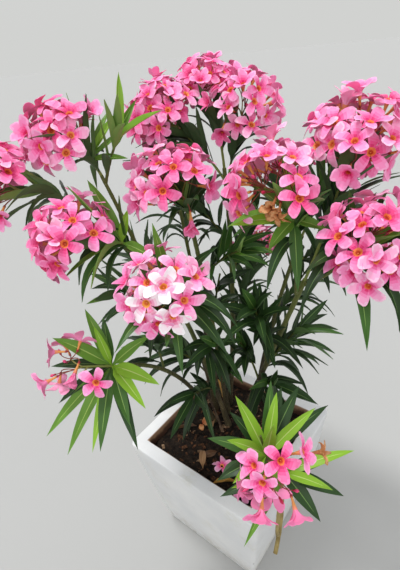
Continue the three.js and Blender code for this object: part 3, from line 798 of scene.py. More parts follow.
def curve_flank(curve):
    """A direction square to the plane that a curve bends in."""
    flank = (curve.knee - curve.foot).cross(curve.tip - curve.knee)
    if flank.length < 1e-3 * (curve.tip - curve.foot).length_squared:
        flank = across((curve.tip - curve.foot).normalized(), curve.tip - curve.foot)[0]
    return flank.normalized()


def twig_radius(t):
    return mix(1, SHOOT_END, t) * (1 + SHOOT_JOINT * math.sin(46 * t))


def plain(name, code, roughness=0.5, gloss=0.5):
    """A material of one colour."""
    return finish(name, base_color=colour(code), roughness=roughness, specular_ior_level=gloss)[0]


twigs = Copies(Template(rod_shape(9, 16, twig_radius)))
for shoot in shoots:
    whole = Curve(shoot.root.lerp(shoot.curve.foot, 0.2), shoot.curve.knee, shoot.curve.tip)
    twigs.add(whole, curve_flank(whole), SHOOT_RADIUS, SHOOT_RADIUS, look=int(shoot.truss is not None))
twig_materials = [plain("leafy_twig", "59602e", 0.55, 0.3), plain("flowering_twig", "7f8b46", 0.5, 0.3)]
twig_piece = add_mesh("green_shoots", twigs.mesh("green_shoots", 1), twig_materials)

# Leaves: long, narrow and leathery, in whorls of three, with a pale raised midrib. Old ones
# are dark and hang, and the young ones near the flowers are light green and stand up. The
# lighter tones on shoots that sunlight falls on are painted sunlight as well as young growth.
LEAF_LENGTH, LEAF_WIDTH, LEAF_WIDEST = 155, 22, 0.4
LEAF_STAGGER, WHORL_LEAVES, WHORL_STEP, FEWEST_WHORLS = 3, 3, 22, 4
FIRST_WHORL, LAST_WHORL, BARE_END, BARE_SHARE = 0.1, 0.97, 42, 0.45
SPREAD, LENGTH_SHARE, WIDTH_SHARE, DROOP = (1.15, 0.6), (1, 0.68), (0.85, 1), (1.1, 0.1)
TURN_CHANCE, SPREAD_CHANCE, LENGTH_CHANCE, DROOP_CHANCE = 0.5, 0.35, (0.85, 1.1), 0.5
YOUNG_STIFF = 0.8
LEAF_TRIES, TRY_TURN, TRY_SPREAD, TRY_SHORTER = 6, 0.22, 0.11, 0.09
LEAF_ROWS, MIDRIB_SUNK, LEAF_THICK = (0.075, 0.55, 1), 0.05, 0.05
LEAF_FORMS = (("leaves_flat", 0.45, 0.05), ("leaves_waved", 0.3, 0.12), ("leaves_folded", 0.6, 0.09))
LEAF_WIDER, LEAF_DEEPER, LEAF_TWIST = (0.84, 1.04), (0.6, 1.6), 0.9
LEAF_DRAWS, FRONT_LEAF_DRAWS = 7000, 7500
YOUNG_TONE, TONE_CHANCE, TONE_DOWN = 1.5, 1.8, 0.6
# Lifts the leaf tones of some shoots: partly lighter young growth, and partly painted sunlight on the
# shoots that the sun falls on.
LIME_AND_SUNLIT_SHOOTS = {
    "blossom_low_left": 2.3, "blossom_low_right": 2.2, "leaves_low_right_young": 2,
    "blossom_right_front": 1.9, "blossom_front": 1.2, "leaves_left_young": 1.9,
    "blossom_middle": 1, "blossom_right_outer": 1.1, "blossom_left_front": 1.5,
    "blossom_left_high": 1.4, "blossom_left_outer": 1.3, "leaves_high_front": 0.7,
    "leaves_left_front": 0.6, "blossom_back_right": 0.6,
}
BROAD = {"blossom_low_left": 1.25, "blossom_low_right": 1.1, "leaves_low_right_young": 1.1,
         "blossom_left_outer": 0.75, "blossom_left_high": 0.85, "leaves_left_young": 0.8}
# Leaves set out as the photo shows them: where on the shoot they grow, how much of the shoot
# keeps its own whorls, and each leaf's reach across, up and near, its tone and its breadth.
# A leaf's tone here is partly painted sunlight, lighter on the leaves that the sun falls on.
FRONT_WHORLS = {
    "blossom_low_left": (0.46, 0, [
        (-97, 55, 30, 3, 1.25), (-46, 104, 10, 3, 1), (-23, 78, 40, 4, 0.7), (-16, 90, 0, 2, 0.9),
        (69, 55, 10, 3, 1.1), (92, -22, 50, 4, 1.2), (70, -60, 60, 4, 1), (43, -88, 60, 2, 1.1),
        (55, -132, 50, 1, 1.1), (-9, -136, 50, 2, 1.1), (-29, -148, 25, 4, 0.85), (-81, -163, 0, 3, 1.1),
        (-127, -136, -20, 3, 1.1), (-104, -74, -20, 1, 1), (-115, -3, -10, 1, 0.9)]),
    "leaves_low_right_young": (0.75, 0.5, [
        (-52, 103, 20, 4, 1), (17, 103, 0, 4, 0.9), (11, 119, -20, 2, 0.9), (-68, 45, 50, 4, 0.9),
        (-96, 29, 0, 2, 1.1), (-60, 72, 0, 1, 1), (63, 104, -40, 1, 1.1), (35, 100, -50, 1, 1.1),
        (80, 78, 0, 4, 0.9), (113, 70, -40, 1, 1), (1, 72, 60, 4, 0.9), (-81, -35, 10, 1, 1),
        (-57, -30, 30, 4, 0.9)]),
    "blossom_low_right": (0.05, 0, [
        (119, 37, 0, 4, 0.9), (105, 18, -30, 1, 1), (73, -14, 30, 4, 0.8), (102, -40, 0, 1, 1.1),
        (56, -71, 20, 1, 1.2), (-107, -40, 0, 1, 1.1), (-91, -11, 30, 4, 0.8), (-70, -105, 30, 3, 0.7)]),
    "blossom_right_front": (0.5, 1, [
        (-100, -12, 25, 4, 0.95), (-42, -48, 15, 3, 1), (46, -18, 15, 3, 0.95), (2, -108, 15, 2, 0.9)]),
    "blossom_left_front": (0.35, 1, [
        (-54, 102, 15, 3, 1.05), (10, 54, 10, 4, 0.7), (58, -28, 10, 3, 0.8)]),
    "blossom_left_high": (0.5, 1, [
        (52, 88, 0, 4, 0.65), (31, 92, -10, 3, 0.7), (71, 58, 0, 3, 0.5), (69, -2, 20, 3, 0.65)]),
}
FRONT_ARCH, FRONT_KNEE, FRONT_DEEPER, FRONT_TWIST = 0.1, 0.45, (0.6, 1.3), 0.7
LEAF_TONES = [
    ("deep", "22351a", "54703f", "3f5634"),
    ("dark", "2b4521", "668648", "4c653b"),
    ("middle", "3f632a", "7f9f50", "5c7a47"),
    ("fresh", "658f35", "a0bc62", "7c9d50"),
    ("lime", "86b234", "b4cb74", "97b757"),
]


def plan_leaf(shoot, whorl, whorls, leaf, attempt):
    """One leaf's root, middle, tip and width, as the solids were given them."""
    young = whorl / (whorls - 1)
    count = 10 * (WHORL_LEAVES * whorl + leaf)
    draw = draws(shoot.seed, count, 6)
    last = 1 - min(BARE_SHARE, BARE_END / shoot.length) if shoot.truss else LAST_WHORL
    t = mix(FIRST_WHORL, last, young) + (leaf - 1) * LEAF_STAGGER / shoot.length
    along = shoot.curve.along(t)
    side, front = across(along, shoot.curve.tip - shoot.curve.foot)
    turn = chance(shoot.seed, 1) * 2 * math.pi + whorl * math.pi / WHORL_LEAVES
    turn += leaf * 2 * math.pi / WHORL_LEAVES + (draw[2] - 0.5) * TURN_CHANCE
    turn += attempt * (TRY_TURN if leaf % 2 else -TRY_TURN)
    out = side * math.cos(turn) + front * math.sin(turn)
    spread = mix(*SPREAD, young) + (draw[3] - 0.5) * SPREAD_CHANCE - attempt * TRY_SPREAD
    way = along * math.cos(spread) + out * math.sin(spread)
    share = mix(*LENGTH_SHARE, young * young) * mix(*LENGTH_CHANCE, draw[4])
    length = LEAF_LENGTH * share * (1 - TRY_SHORTER * attempt)
    limp = mix(*DROOP, young) + DROOP_CHANCE * draw[5] * (1 - YOUNG_STIFF * young)
    droop = limp * math.hypot(way.x, way.y)
    root = shoot.curve.at(t)
    middle = root + way * length * LEAF_WIDEST
    tip = middle + (way - UP * droop).normalized() * length * (1 - LEAF_WIDEST)
    width = LEAF_WIDTH * mix(*WIDTH_SHARE, length / LEAF_LENGTH)
    return root, middle, tip, width, along.cross(way).normalized(), young


def leaf_test_points(root, middle, tip, width, flank):
    halves = (root, middle), (middle, tip)
    places = [start.lerp(end, s) for s in (0.25, 0.45, 0.7, 1) for start, end in halves]
    for s in (0.5, 1):
        for half in (-0.5, 0.5):
            reach = flank * width * half * s
            places += [root.lerp(middle, s) + reach, tip.lerp(middle, s) + reach]
    return places


def leaf_outline(t):
    """Half the leaf's width from its stalk to its tip, where its widest is 1."""
    blade = math.sin(math.pi * min(1, t) ** 0.78) ** 0.85 if 0 < t < 1 else 0
    stalk = min(1, max(0, (t - 0.03) / 0.16))
    return max(0.09 * (1 - t), blade * stalk * stalk * (3 - 2 * stalk)) + 0.015


def leaf_template(fold, wave):
    """A thin leaf, folded along its midrib and waved at its edges."""
    shape = bmesh.new()
    bmesh.ops.create_grid(shape, x_segments=5, y_segments=9, size=1)
    for corner in shape.verts:
        row, t = round(2.5 * abs(corner.co.x) - 0.5), 0.5 * (corner.co.y + 1)
        share = math.copysign(LEAF_ROWS[row], corner.co.x)
        half = leaf_outline(t)
        rise = fold * abs(share) * half * (1 - 0.6 * t) - MIDRIB_SUNK * (row == 0)
        ripple = wave * share * math.sin(9 * t + 2 * share) * half
        corner.co = (share * half, rise + ripple, t)
    bmesh.ops.triangulate(shape, faces=shape.faces)
    for face in shape.faces:
        face.material_index = 1 if abs(face.calc_center_median().x) < 0.04 else 0
    bmesh.ops.solidify(shape, geom=shape.faces[:], thickness=LEAF_THICK)
    bmesh.ops.recalc_face_normals(shape, faces=shape.faces)
    for face in shape.faces:
        if face.normal.y < 0:
            face.material_index = 2
    return Template(shape)


def pick(share, count):
    """One of a few choices, from a number from 0 to 1."""
    return int(share * (count - 0.01))


def leaf_that_fits(owner, shoot, whorl, whorls, leaf):
    """The first plan for a leaf that keeps to its shoot's own space, if there is one."""
    for attempt in range(LEAF_TRIES):
        plan = plan_leaf(shoot, whorl, whorls, leaf, attempt)
        if fits(owner, leaf_test_points(*plan[:5])):
            return plan
    return None


def toned(tones, parts, gloss=0.5):
    """A material for each part of each tone, from the parts' roughness and the tones' colours."""
    return [plain(f"{tone}_{part}", code, roughness, gloss)
            for tone, *codes in tones for (part, roughness), code in zip(parts.items(), codes)]


leaves = [Copies(leaf_template(fold, wave)) for _, fold, wave in LEAF_FORMS]
for owner, shoot in enumerate(shoots):
    whorls = max(FEWEST_WHORLS, round(shoot.length / WHORL_STEP))
    front_root, kept, front_leaves = FRONT_WHORLS.get(shoot.name, (0, 1, ()))
    for count in range(WHORL_LEAVES * whorls):
        whorl, leaf = divmod(count, WHORL_LEAVES)
        plan = whorl / whorls < kept and leaf_that_fits(owner, shoot, whorl, whorls, leaf)
        if not plan:
            continue
        root, middle, tip, width, flank, young = plan
        draw = draws(shoot.seed, LEAF_DRAWS + 10 * count, 5)
        before, after = 1 - LEAF_WIDEST, LEAF_WIDEST
        knee = (middle - root * before ** 2 - tip * after ** 2) / (2 * before * after)
        # The tone rises with young growth, at random, and with painted sunlight on sunlit shoots.
        bright = LIME_AND_SUNLIT_SHOOTS.get(shoot.name, 0) + YOUNG_TONE * young + TONE_CHANCE * draw[0]
        tone = min(len(LEAF_TONES) - 1, max(0, int(bright - TONE_DOWN)))
        wide = 0.5 * width * mix(*LEAF_WIDER, draw[2]) * BROAD.get(shoot.name, 1)
        deep = 0.5 * width * mix(*LEAF_DEEPER, draw[3])
        leaves[pick(draw[1], len(leaves))].add(Curve(root, knee, tip), flank, wide, deep,
                                               (draw[4] - 0.5) * LEAF_TWIST, tone)
    for leaf, (sideways, up, near, tone, broad) in enumerate(front_leaves):
        draw = draws(shoot.seed, FRONT_LEAF_DRAWS + 10 * leaf, 3)
        root, way = shoot.curve.at(front_root), seen(sideways, up, near)
        knee = root + way * FRONT_KNEE + UP * FRONT_ARCH * way.length
        flank = (UP - forward).cross(way).normalized()
        wide, deep = (0.5 * LEAF_WIDTH * size for size in (broad, mix(*FRONT_DEEPER, draw[1])))
        leaves[pick(draw[0], len(leaves))].add(Curve(root, knee, root + way), flank, wide, deep,
                                               (draw[2] - 0.5) * FRONT_TWIST, tone)

leaf_materials = toned(LEAF_TONES, {"blade": 0.4, "midrib": 0.45, "underside": 0.6}, 0.25)
for (name, _, _), copies in zip(LEAF_FORMS, leaves):
    piece = add_mesh(name, copies.mesh(name, 3), leaf_materials)
    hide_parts(*(shoot.name for shoot in shoots if not shoot.truss))

# Flowers: each has a red stalk and calyx, a peach tube with an orange throat, a small fringe
# and five broad petals with round ends, which fade from deep rose to pale pink. The green
# arms at a shoot's tip carry the stalks and the furled buds.
TUBE_LENGTH, STALK_SPAN = 20, 16
DOME_WIDE, DOME_TALL, DOME_COVER, DOME_CHANCE = 1.12, 0.9, 1.35, (0.8, 1.15)
LOOK_UP, LOOK_OUT = 0.35, 0.3
GOLDEN_TURN = math.pi * (3 - math.sqrt(5))
FLOWER_RADIUS, FLOWER_STEP, FLOWERS_APART = 25, 0.56, 17
FLOWER_STRAY, SIGHT_STRAY, FLOWER_SLACK = 5, 0.5, 24
RING_TURNS = (0, 1.26, 2.51, 3.77, 5.03)
REACH_DRAWS, STRAY_DRAWS, SIGHT_DRAWS, SPIN_DRAWS, TONE_DRAWS, GAP_DRAWS = 500, 510, 530, 600, 650, 670
FLOWER_DRAWS, BUD_DRAWS, BUD_LENGTH_DRAWS, BUD_LOOK_DRAWS = 8000, 9000, 9100, 9200
FIRST_PLACED, FIRST_WITHERED = 60, 40
PETALS, PETAL_LENGTH, PETAL_HALF, PETAL_THICK = 5, 26.5, 8.2, 0.045
PETAL_ROUND, PETAL_DIP, PETAL_SLANT = 0.16, 0.09, 0.07
PETAL_RISE, PETAL_KNEE, PETAL_WIDER, PETAL_DEEPER = 0.75, 0.42, (0.88, 1.08), (0.7, 1.6)
PETAL_STRAY, PETAL_LENGTHS, OPENNESS, OPENNESS_STRAY = 0.14, (0.92, 1.06), (0.05, 0.95), 0.3
PETAL_ZONES = (0.18, 0.36, 0.54, 0.7, 0.88)
PETAL_PARTS = ("heart", "streak", "flush", "petal", "petal_outer", "petal_edge", "petal_back")
THROAT, THROAT_DEPTH, TUBE_RADIUS = 3.3, 0.8, 4
CALYX_PLACES, CALYX_RADIUS, FRINGE_PLACES, FRINGE_RADIUS = (-1, 1.5, 4), 2.5, (-1, 1, 3), 3.1
BUDS, BUD_STEP, BUD_FIRST, BUD_INSIDE, BUD_LENGTH, BUD_RADIUS = 7, 1.7, 0.4, (0.45, 0.75), (9, 19), 2.5
BUD_CALYX_PLACES, BUD_CALYX_RADIUS = (-1.5, 1, 3), 2.1
STALK_RADIUS, BUD_STALK_RADIUS, STALK_BEND, STALK_START = 0.95, 0.8, 0.45, 0.12
WITHERED_SHORT, WITHERED_LIMP = 0.62, 1.9
PETAL_PIECES, INNER_TRUSSES = ("petals_inner", "petals_outer"), 7
# The white tone is pink petals lit white by full sun: painted sunlight, used only on the front truss.
PETAL_TONES = [
    ("white", "f8b04e", "f27aa6", "fba6c8", "ffd2e4", "fff0f6", "fffafc", "ffdbea"),
    ("pale", "f39a58", "ea4c8a", "f673ae", "fd94c6", "ffadd4", "ffc6e1", "ffaad1"),
    ("pink", "f08e4e", "e23a7c", "f35d9e", "fb7cb6", "fd95c9", "ffaed8", "fd95c6"),
    ("rose", "eb7c42", "d22c6c", "e74685", "f3609c", "fa7bb2", "fe93c4", "f686b8"),
    ("withered", "a8562c", "b8693c", "c27848", "c98450", "d49c6c", "b87a4a", "c08656"),
]
# The front truss stands in full sun, so its low tone, down to white, is painted sunlight.
TRUSS_TONES = {"front": 0.6, "top_left": 2.2, "left_high": 2.1, "left_outer": 2.2, "left_front": 2.1,
               "right_top": 1.7}
USUAL_TONE, DEEPEST_TONE, WITHERED_TONE = 1.9, 3, 4
ARM_SHARE, ARM_RADIUS, ARM_RISE, ARM_FLOWERS = 0.5, 1.5, 5, 3
# Where single withered flowers hang.
WITHERED = {
    "right_front": [(192, -125, 1076), (201, -122, 1066)], "low_right": [(322, -209, 732)],
    "back_right": [(214, 196, 1052)], "back_left": [(-262, 120, 1060)],
}
TRUSS_STEPS = {"low_left": 0.95, "low_right": 0.8, "middle": 0.6}
TRUSS_GAPS = {"right_top": (-17, 7, 42)}
GAP_REACH, GAP_CHANCE = 22, 0.1
# Flowers set out as the photo shows them. A row holds the flower's place from the middle of
# its truss and the way it looks, each across, up and near, how far its petals rise and its tone.
FRONT_FLOWERS = {
    "low_left": [
        (-19, 20, 5, -0.95, 0, 0.3, 0.5, 2), (-29, -30, 15, -0.75, -0.4, 0.5, 0.6, 2),
        (56, -30, 15, 0.1, -0.2, 1, 0.15, 2), (16, -17, 5, -0.3, -0.9, 0.3, 1.25, 3)],
    "low_right": [
        (6, 45, 45, 0.05, 0.25, 1, 0.2, 3), (37, 55, 40, 0.75, 0.35, 0.5, 0.4, 2),
        (-19, 12, 40, -0.35, -0.25, 0.9, 0.35, 2), (-27, 25, 15, -0.6, 0.2, 0.6, 0.5, 2),
        (-19, -35, 30, -0.15, -0.85, 0.55, 0.7, 3), (31, -35, 30, 0.2, -0.85, 0.5, 0.7, 3)],
    "right_front": [
        (27, -5, 32, 0.2, 0.3, 0.95, 0.15, 2), (28, -34, 36, 0.15, 0, 1, 0.12, 3),
        (22, 24, 22, 0.1, 0.6, 0.8, 0.4, 1), (-13, 26, 20, -0.1, 0.65, 0.7, 0.55, 2),
        (-38, 22, 5, -0.5, 0.6, 0.5, 0.4, 2), (-55, 0, 12, -0.95, 0.15, 0.3, 0.3, 2),
        (-50, -25, 18, -0.8, -0.35, 0.5, 0.3, 3), (-50, 18, -12, -0.8, 0.5, 0.1, 0.3, 1)],
    "middle": [
        (5, 10, 42, 0, 0.35, 0.95, 0.15, 3), (-12, -27, 42, -0.05, -0.1, 1, 0.15, 3),
        (37, 7, 30, 0.4, 0.3, 0.85, 0.2, 2), (-56, -13, 12, -0.8, 0.1, 0.6, 0.4, 1),
        (-52, -38, 10, -0.7, -0.5, 0.5, 0.6, 2), (-34, 38, 12, -0.35, 0.8, 0.45, 0.35, 1),
        (18, 40, 10, 0.1, 0.85, 0.4, 0.4, 3), (58, -12, 10, 0.8, -0.2, 0.5, 0.5, 2),
        (-38, -28, 30, -0.4, -0.3, 0.85, 0.35, 1), (-6, 46, -10, 0, 0.9, 0.2, 0.3, 2),
        (-20, 20, 24, -0.3, 0.6, 0.8, 0.3, 2), (26, 26, 20, 0.2, 0.6, 0.7, 0.3, 3),
        (-48, 10, 5, -0.7, 0.5, 0.5, 0.4, 2), (32, -68, 0, 0.1, -0.9, 0.3, 1.2, 3)],
    "left_front": [
        (40, 5, 25, 0.25, 0.1, 0.95, 0.12, 2), (7, -14, 56, 0, -0.05, 1, 0.15, 3),
        (12, 22, 36, 0.1, 0.5, 0.85, 0.2, 2), (-11, 42, 18, -0.1, 0.75, 0.6, 0.4, 2),
        (-36, 17, 25, -0.5, 0.4, 0.75, 0.45, 3), (-40, -10, 22, -0.7, 0, 0.7, 0.5, 3),
        (-14, -4, 44, 0.2, 0.4, 0.9, 0.7, 1), (-14, -40, 25, -0.2, -0.7, 0.65, 0.6, 3),
        (-30, -30, 15, -0.6, -0.5, 0.5, 0.5, 3), (11, 60, 0, 0.2, 0.9, 0.3, 0.6, 1)],
    # The front truss's white and pale tones stand for full sun on it: painted sunlight.
    "front": [
        (15, 32, 30, 0.1, 0.4, 0.9, 0.25, 1), (-36, 38, 14, -0.3, 0.75, 0.5, 0.6, 1),
        (-53, 14, 12, -0.7, 0.5, 0.5, 0.5, 2), (0, 8, 44, 0.1, 0.2, 1, 0.4, 0),
        (43, 22, 27, 0.5, 0.4, 0.75, 0.25, 1), (28, -10, 40, 0.35, -0.1, 0.95, 0.25, 1),
        (-31, -34, 22, -0.4, -0.5, 0.7, 0.4, 1), (12, -32, 30, 0.1, -0.5, 0.9, 0.5, 0),
        (-24, 14, 30, -0.3, 0.3, 0.9, 0.4, 1), (-24, -14, 40, -0.2, -0.3, 0.9, 0.25, 0),
        (-9, -42, 25, 0, -0.7, 0.7, 0.5, 2), (-48, -18, 15, -0.7, -0.3, 0.6, 0.5, 2)],
    "top_right": [
        (-46, -58, 5, -0.2, -0.8, 0.4, 0.8, 3)],
}
FRONT_PLACED = ("low_left", "low_right", "right_front", "middle", "left_front", "front")


def stray(seed, count):
    return Vector([2 * chance(seed, count + 37 * axis) - 1 for axis in range(3)])


def plan_flower(shoot, k):
    """The middle of one flower's face, the way it looks, and the foot of its stalk."""
    head, faces, size, flowers = shoot.truss
    turn = k * GOLDEN_TURN + chance(shoot.seed, 7) * 2 * math.pi
    height = 1 - DOME_COVER * (k + 0.5) / flowers
    side, front = across(faces, faces)
    flat = math.sqrt(1 - height * height) * DOME_WIDE
    way = faces * height * DOME_TALL + side * flat * math.cos(turn) + front * flat * math.sin(turn)
    face = head + way * DOME_RADIUS * size * mix(*DOME_CHANCE, chance(shoot.seed, REACH_DRAWS + k))
    face += stray(shoot.seed, STRAY_DRAWS + k) * FLOWER_STRAY
    sight = way + UP * LOOK_UP + faces * LOOK_OUT + stray(shoot.seed, SIGHT_DRAWS + k) * SIGHT_STRAY
    foot = shoot.curve.at(1 - STALK_SPAN * (k / flowers) / shoot.length)
    return face, sight.normalized(), foot, chance(shoot.seed, SPIN_DRAWS + k) * 2 * math.pi


def petal_template():
    """A thin cupped petal, narrow at its foot, with a round, slightly slanting end."""
    shape = bmesh.new()
    bmesh.ops.create_grid(shape, x_segments=4, y_segments=7, size=1)
    for corner in shape.verts:
        share, v = corner.co.x, 1 - (0.5 - 0.5 * corner.co.y) ** 1.3
        half = 0.3 + 0.7 * math.sin(math.pi / 2 * min(1, v / 0.78)) ** 1.4
        half *= 1 - PETAL_ROUND * max(0, (v - 0.9) / 0.1) ** 2
        cup = 0.25 * share * share * half - 0.24 * share * share * v ** 3 + 0.16 * share * v
        corner.co = (share * half, cup, v * (1 - PETAL_DIP * share ** 4 + PETAL_SLANT * share))
    for face in shape.faces:
        middle = face.calc_center_median()
        outward = middle.z + 0.12 * (abs(middle.x) > 0.3)
        face.material_index = sum(outward > edge for edge in PETAL_ZONES)
    bmesh.ops.triangulate(shape, faces=shape.faces)
    bmesh.ops.solidify(shape, geom=shape.faces[:], thickness=PETAL_THICK)
    bmesh.ops.recalc_face_normals(shape, faces=shape.faces)
    for face in shape.faces:
        if face.normal.y < 0:
            face.material_index = len(PETAL_ZONES) + 1
    return Template(shape)


def tube_radius(t):
    return 0.42 + 0.16 * t + 0.8 * max(0, t - 0.45) ** 1.2


def bud_radius(t):
    return 0.25 + 0.85 * math.sin(math.pi * min(1, 0.06 + t * 0.97) ** 1.5) ** 0.8


def tube_template():
    """A narrow tube that widens to a throat, with its mouth sunk in."""
    shape = rod_shape(8, 4, tube_radius)
    cap = max(shape.faces, key=lambda face: face.calc_center_median().z)
    bmesh.ops.inset_region(shape, faces=[cap], thickness=0.16)
    bmesh.ops.translate(shape, vec=(0, 0, -0.14), verts=cap.verts)
    for face in shape.faces:
        height = face.calc_center_median().z
        face.material_index = 2 if face is cap else 1 if height > 0.7 else 0
    return Template(shape)


def crown_template(points, reach):
    """A cup whose rim is cut to points: a calyx, or the fringe round a throat."""
    shape = bmesh.new()
    bmesh.ops.create_cone(shape, cap_ends=True, segments=2 * points, radius1=0.7, radius2=1, depth=1,
                          matrix=Matrix.Translation((0, 0, 0.5)))
    rim = sorted((corner for corner in shape.verts if corner.co.z > 0.5),
                 key=lambda corner: math.atan2(corner.co.y, corner.co.x))
    for corner in rim[::2]:
        corner.co.xy = corner.co.xy * reach
        corner.co.z = 0.35
    mouth = max(shape.faces, key=lambda face: face.normal.z)
    for face in bmesh.ops.poke(shape, faces=[mouth], offset=-0.9)["faces"]:
        face.material_index = 1
    return Template(shape)


petals = [Copies(petal_template()) for _ in PETAL_PIECES]
tubes, calyxes, fringes, stalks, buds, arm_rods = (Copies(template) for template in (
    tube_template(), crown_template(5, 0.9), crown_template(8, 0.85), Template(rod_shape(6, 4)),
    Template(rod_shape(7, 7, bud_radius)), Template(rod_shape(7, 5, lambda t: mix(1, 0.75, t)))))


def add_petal(piece, face, sight, radial, tone, openness, reach=1.0, draw=0.5, limp=1.0):
    """One petal, rising out of the throat and bending outward."""
    start = face + radial * THROAT - sight * THROAT_DEPTH
    knee, tip = (
        start + (radial * math.cos(rise) + sight * math.sin(rise)) * PETAL_LENGTH * share * reach
        for rise, share in ((openness + PETAL_RISE, PETAL_KNEE), (openness, 1)))
    wide = PETAL_HALF * mix(*PETAL_WIDER, draw) / limp
    deep = PETAL_HALF * mix(*PETAL_DEEPER, draw) * limp
    petals[piece].add(Curve(start, knee, tip), sight.cross(radial), wide, deep,
                      (draw - 0.5) * 0.5 * limp ** 2, tone)


def add_straight(copies, place, way, shares, radius, look=0):
    """A round copy along a straight way, from where its foot, middle and tip lie on it."""
    curve = Curve(*(place + way * share for share in shares))
    copies.add(curve, across(way, way)[0], radius, radius, look=look)


def add_stalk(shoot, back, sight, radius):
    """A stalk that leaves the nearest arm of the truss and turns into the flower's line."""
    foot = min(shoot.forks, key=lambda fork: (fork - back).length)
    reach = (back - foot).length
    way = (foot - shoot.curve.tip).normalized()
    curve = Curve(foot, back - sight * STALK_BEND * reach + way * STALK_START * reach, back)
    stalks.add(curve, curve_flank(curve), radius, radius)


def add_forks(shoot):
    """The green arms into which a truss's shoot forks, and where they end."""
    flowers = shoot.truss[3]
    arms = max(3, round(flowers / ARM_FLOWERS))
    shoot.forks = []
    for arm in range(arms):
        face, sight, foot, _ = plan_flower(shoot, arm * flowers / arms + 0.3)
        fork = foot.lerp(face - sight * TUBE_LENGTH, ARM_SHARE)
        curve = Curve(foot, foot.lerp(fork, 0.5) + shoot.curve.along(1) * ARM_RISE, fork)
        arm_rods.add(curve, curve_flank(curve), ARM_RADIUS, ARM_RADIUS)
        shoot.forks.append(fork)


def add_flower(shoot, k, face, sight, spin, tone, openness=None):
    """A whole flower, as open as it is told to be or as its draw says."""
    draw = draws(shoot.seed, FLOWER_DRAWS + 20 * k, 12)
    side, front = across(sight, sight)
    back = face - sight * TUBE_LENGTH
    withered = tone == WITHERED_TONE
    short, limp = (WITHERED_SHORT, WITHERED_LIMP) if withered else (1, 1)
    if openness is None:
        openness = mix(*OPENNESS, draw[0] ** 2.2)
    for petal in range(PETALS):
        turn = spin + petal * 2 * math.pi / PETALS + PETAL_STRAY * (draw[1 + petal] - 0.5)
        radial = side * math.cos(turn) + front * math.sin(turn)
        add_petal(int(shoot.seed > INNER_TRUSSES), face, sight, radial, tone,
                  openness + OPENNESS_STRAY * (draw[2 + petal] - 0.5),
                  mix(*PETAL_LENGTHS, draw[3 + petal]) * short, draw[4 + petal], limp)
    add_straight(tubes, back, sight, (0, TUBE_LENGTH / 2, TUBE_LENGTH), TUBE_RADIUS, int(withered))
    add_straight(calyxes, back, sight, CALYX_PLACES, CALYX_RADIUS)
    add_straight(fringes, face, sight, FRINGE_PLACES, FRINGE_RADIUS, tone)
    add_stalk(shoot, back, sight, STALK_RADIUS)


def add_bud(shoot, k):
    """A furled deep pink bud, between the flowers and a little inside them."""
    head = shoot.truss[0]
    face, sight, _, _ = plan_flower(shoot, k * BUD_STEP + BUD_FIRST)
    base = head.lerp(face, mix(*BUD_INSIDE, chance(shoot.seed, BUD_DRAWS + k)))
    length = mix(*BUD_LENGTH, chance(shoot.seed, BUD_LENGTH_DRAWS + k))
    look = pick(chance(shoot.seed, BUD_LOOK_DRAWS + k), 2)
    add_straight(buds, base, sight, (0, length / 2, length), BUD_RADIUS, look)
    add_straight(calyxes, base, sight, BUD_CALYX_PLACES, BUD_CALYX_RADIUS)
    add_stalk(shoot, base, sight, BUD_STALK_RADIUS)


for owner, shoot in enumerate(shoots):
    if not shoot.truss:
        continue
    placed = []
    kind = shoot.name.removeprefix("blossom_")
    head, _, _, flowers = shoot.truss
    add_forks(shoot)
    for k in np.arange(0, flowers, TRUSS_STEPS.get(kind, FLOWER_STEP)).tolist():
        face, sight, _, spin = plan_flower(shoot, k)
        side, front = across(sight, sight)
        ring = [face + (side * math.sin(spin + i) + front * math.cos(spin + i)) * FLOWER_RADIUS
                for i in RING_TURNS]
        out = face - head
        hidden = kind in FRONT_PLACED and out.dot(forward) < 0
        if kind in TRUSS_GAPS and (out - seen(*TRUSS_GAPS[kind])).length < GAP_REACH:
            hidden = True
        if hidden or chance(shoot.seed, GAP_DRAWS + k) < GAP_CHANCE:
            continue
        apart = all((face - other).length > FLOWERS_APART for other in placed)
        if apart and fits(owner, ring, FLOWER_SLACK):
            placed.append(face)
            shift = TONE_CHANCE * (chance(shoot.seed, TONE_DRAWS + k) - 0.5)
            tone = int(TRUSS_TONES.get(kind, USUAL_TONE) + shift + 0.5)
            add_flower(shoot, k, face, sight, spin, min(DEEPEST_TONE, max(0, tone)))
    for k, (*out, sideways, up, near, openness, tone) in enumerate(FRONT_FLOWERS.get(kind, ())):
        sight = seen(sideways, up, near).normalized()
        add_flower(shoot, FIRST_PLACED + k, head + seen(*out), sight, 0.4 * k, tone, openness)
    for k in range(min(BUDS, flowers // 2)):
        add_bud(shoot, k)
    for k, place in enumerate(WITHERED.get(kind, ())):
        sight = (Vector(place) - shoot.curve.tip - UP * 20).normalized()
        add_flower(shoot, FIRST_WITHERED + k, Vector(place), sight, k, WITHERED_TONE, 0.5)

# Fallen: a few petals, whole flowers and dry curled leaves, which have dropped from the plant
# and lie loose on the soil. The petals go into the meshes of the flowers' own petals.
FALLEN_LIFT = 4
FALLEN_FLOWERS = ((-153, 7, 2, 2), (36, -101, 5, 1), (120, -136, 5, 2), (-89, -22, 3, 4), (60, 60, 2, 3))
FALLEN_LEAVES = (
    (70, -135, 0.7, 62, 7, 0), (-15, -114, 2.2, 54, 22, 1), (-66, 1, 5.2, 72, 9, 1),
    (-8, -92, 1.1, 40, 12, 2), (-120, -60, 3.9, 66, 6, 2), (96, 96, 0.2, 84, 10, 1),
    (-130, 120, 5.6, 90, 8, 0), (20, 150, 3, 70, 9, 2), (150, 20, 1.9, 60, 8, 2))
DRY_TONES = (("dry_yellow", "a87c2e", "c9a04c", "9a7530"), ("dry_tan", "97724e", "b8966e", "8a6a4a"),
             ("dry_brown", "5c3f28", "7a5b3e", "53391f"))


def on_soil(x, y):
    return Vector((x, y, soil_height(x * TO_METRES, y * TO_METRES) / TO_METRES + FALLEN_LIFT))


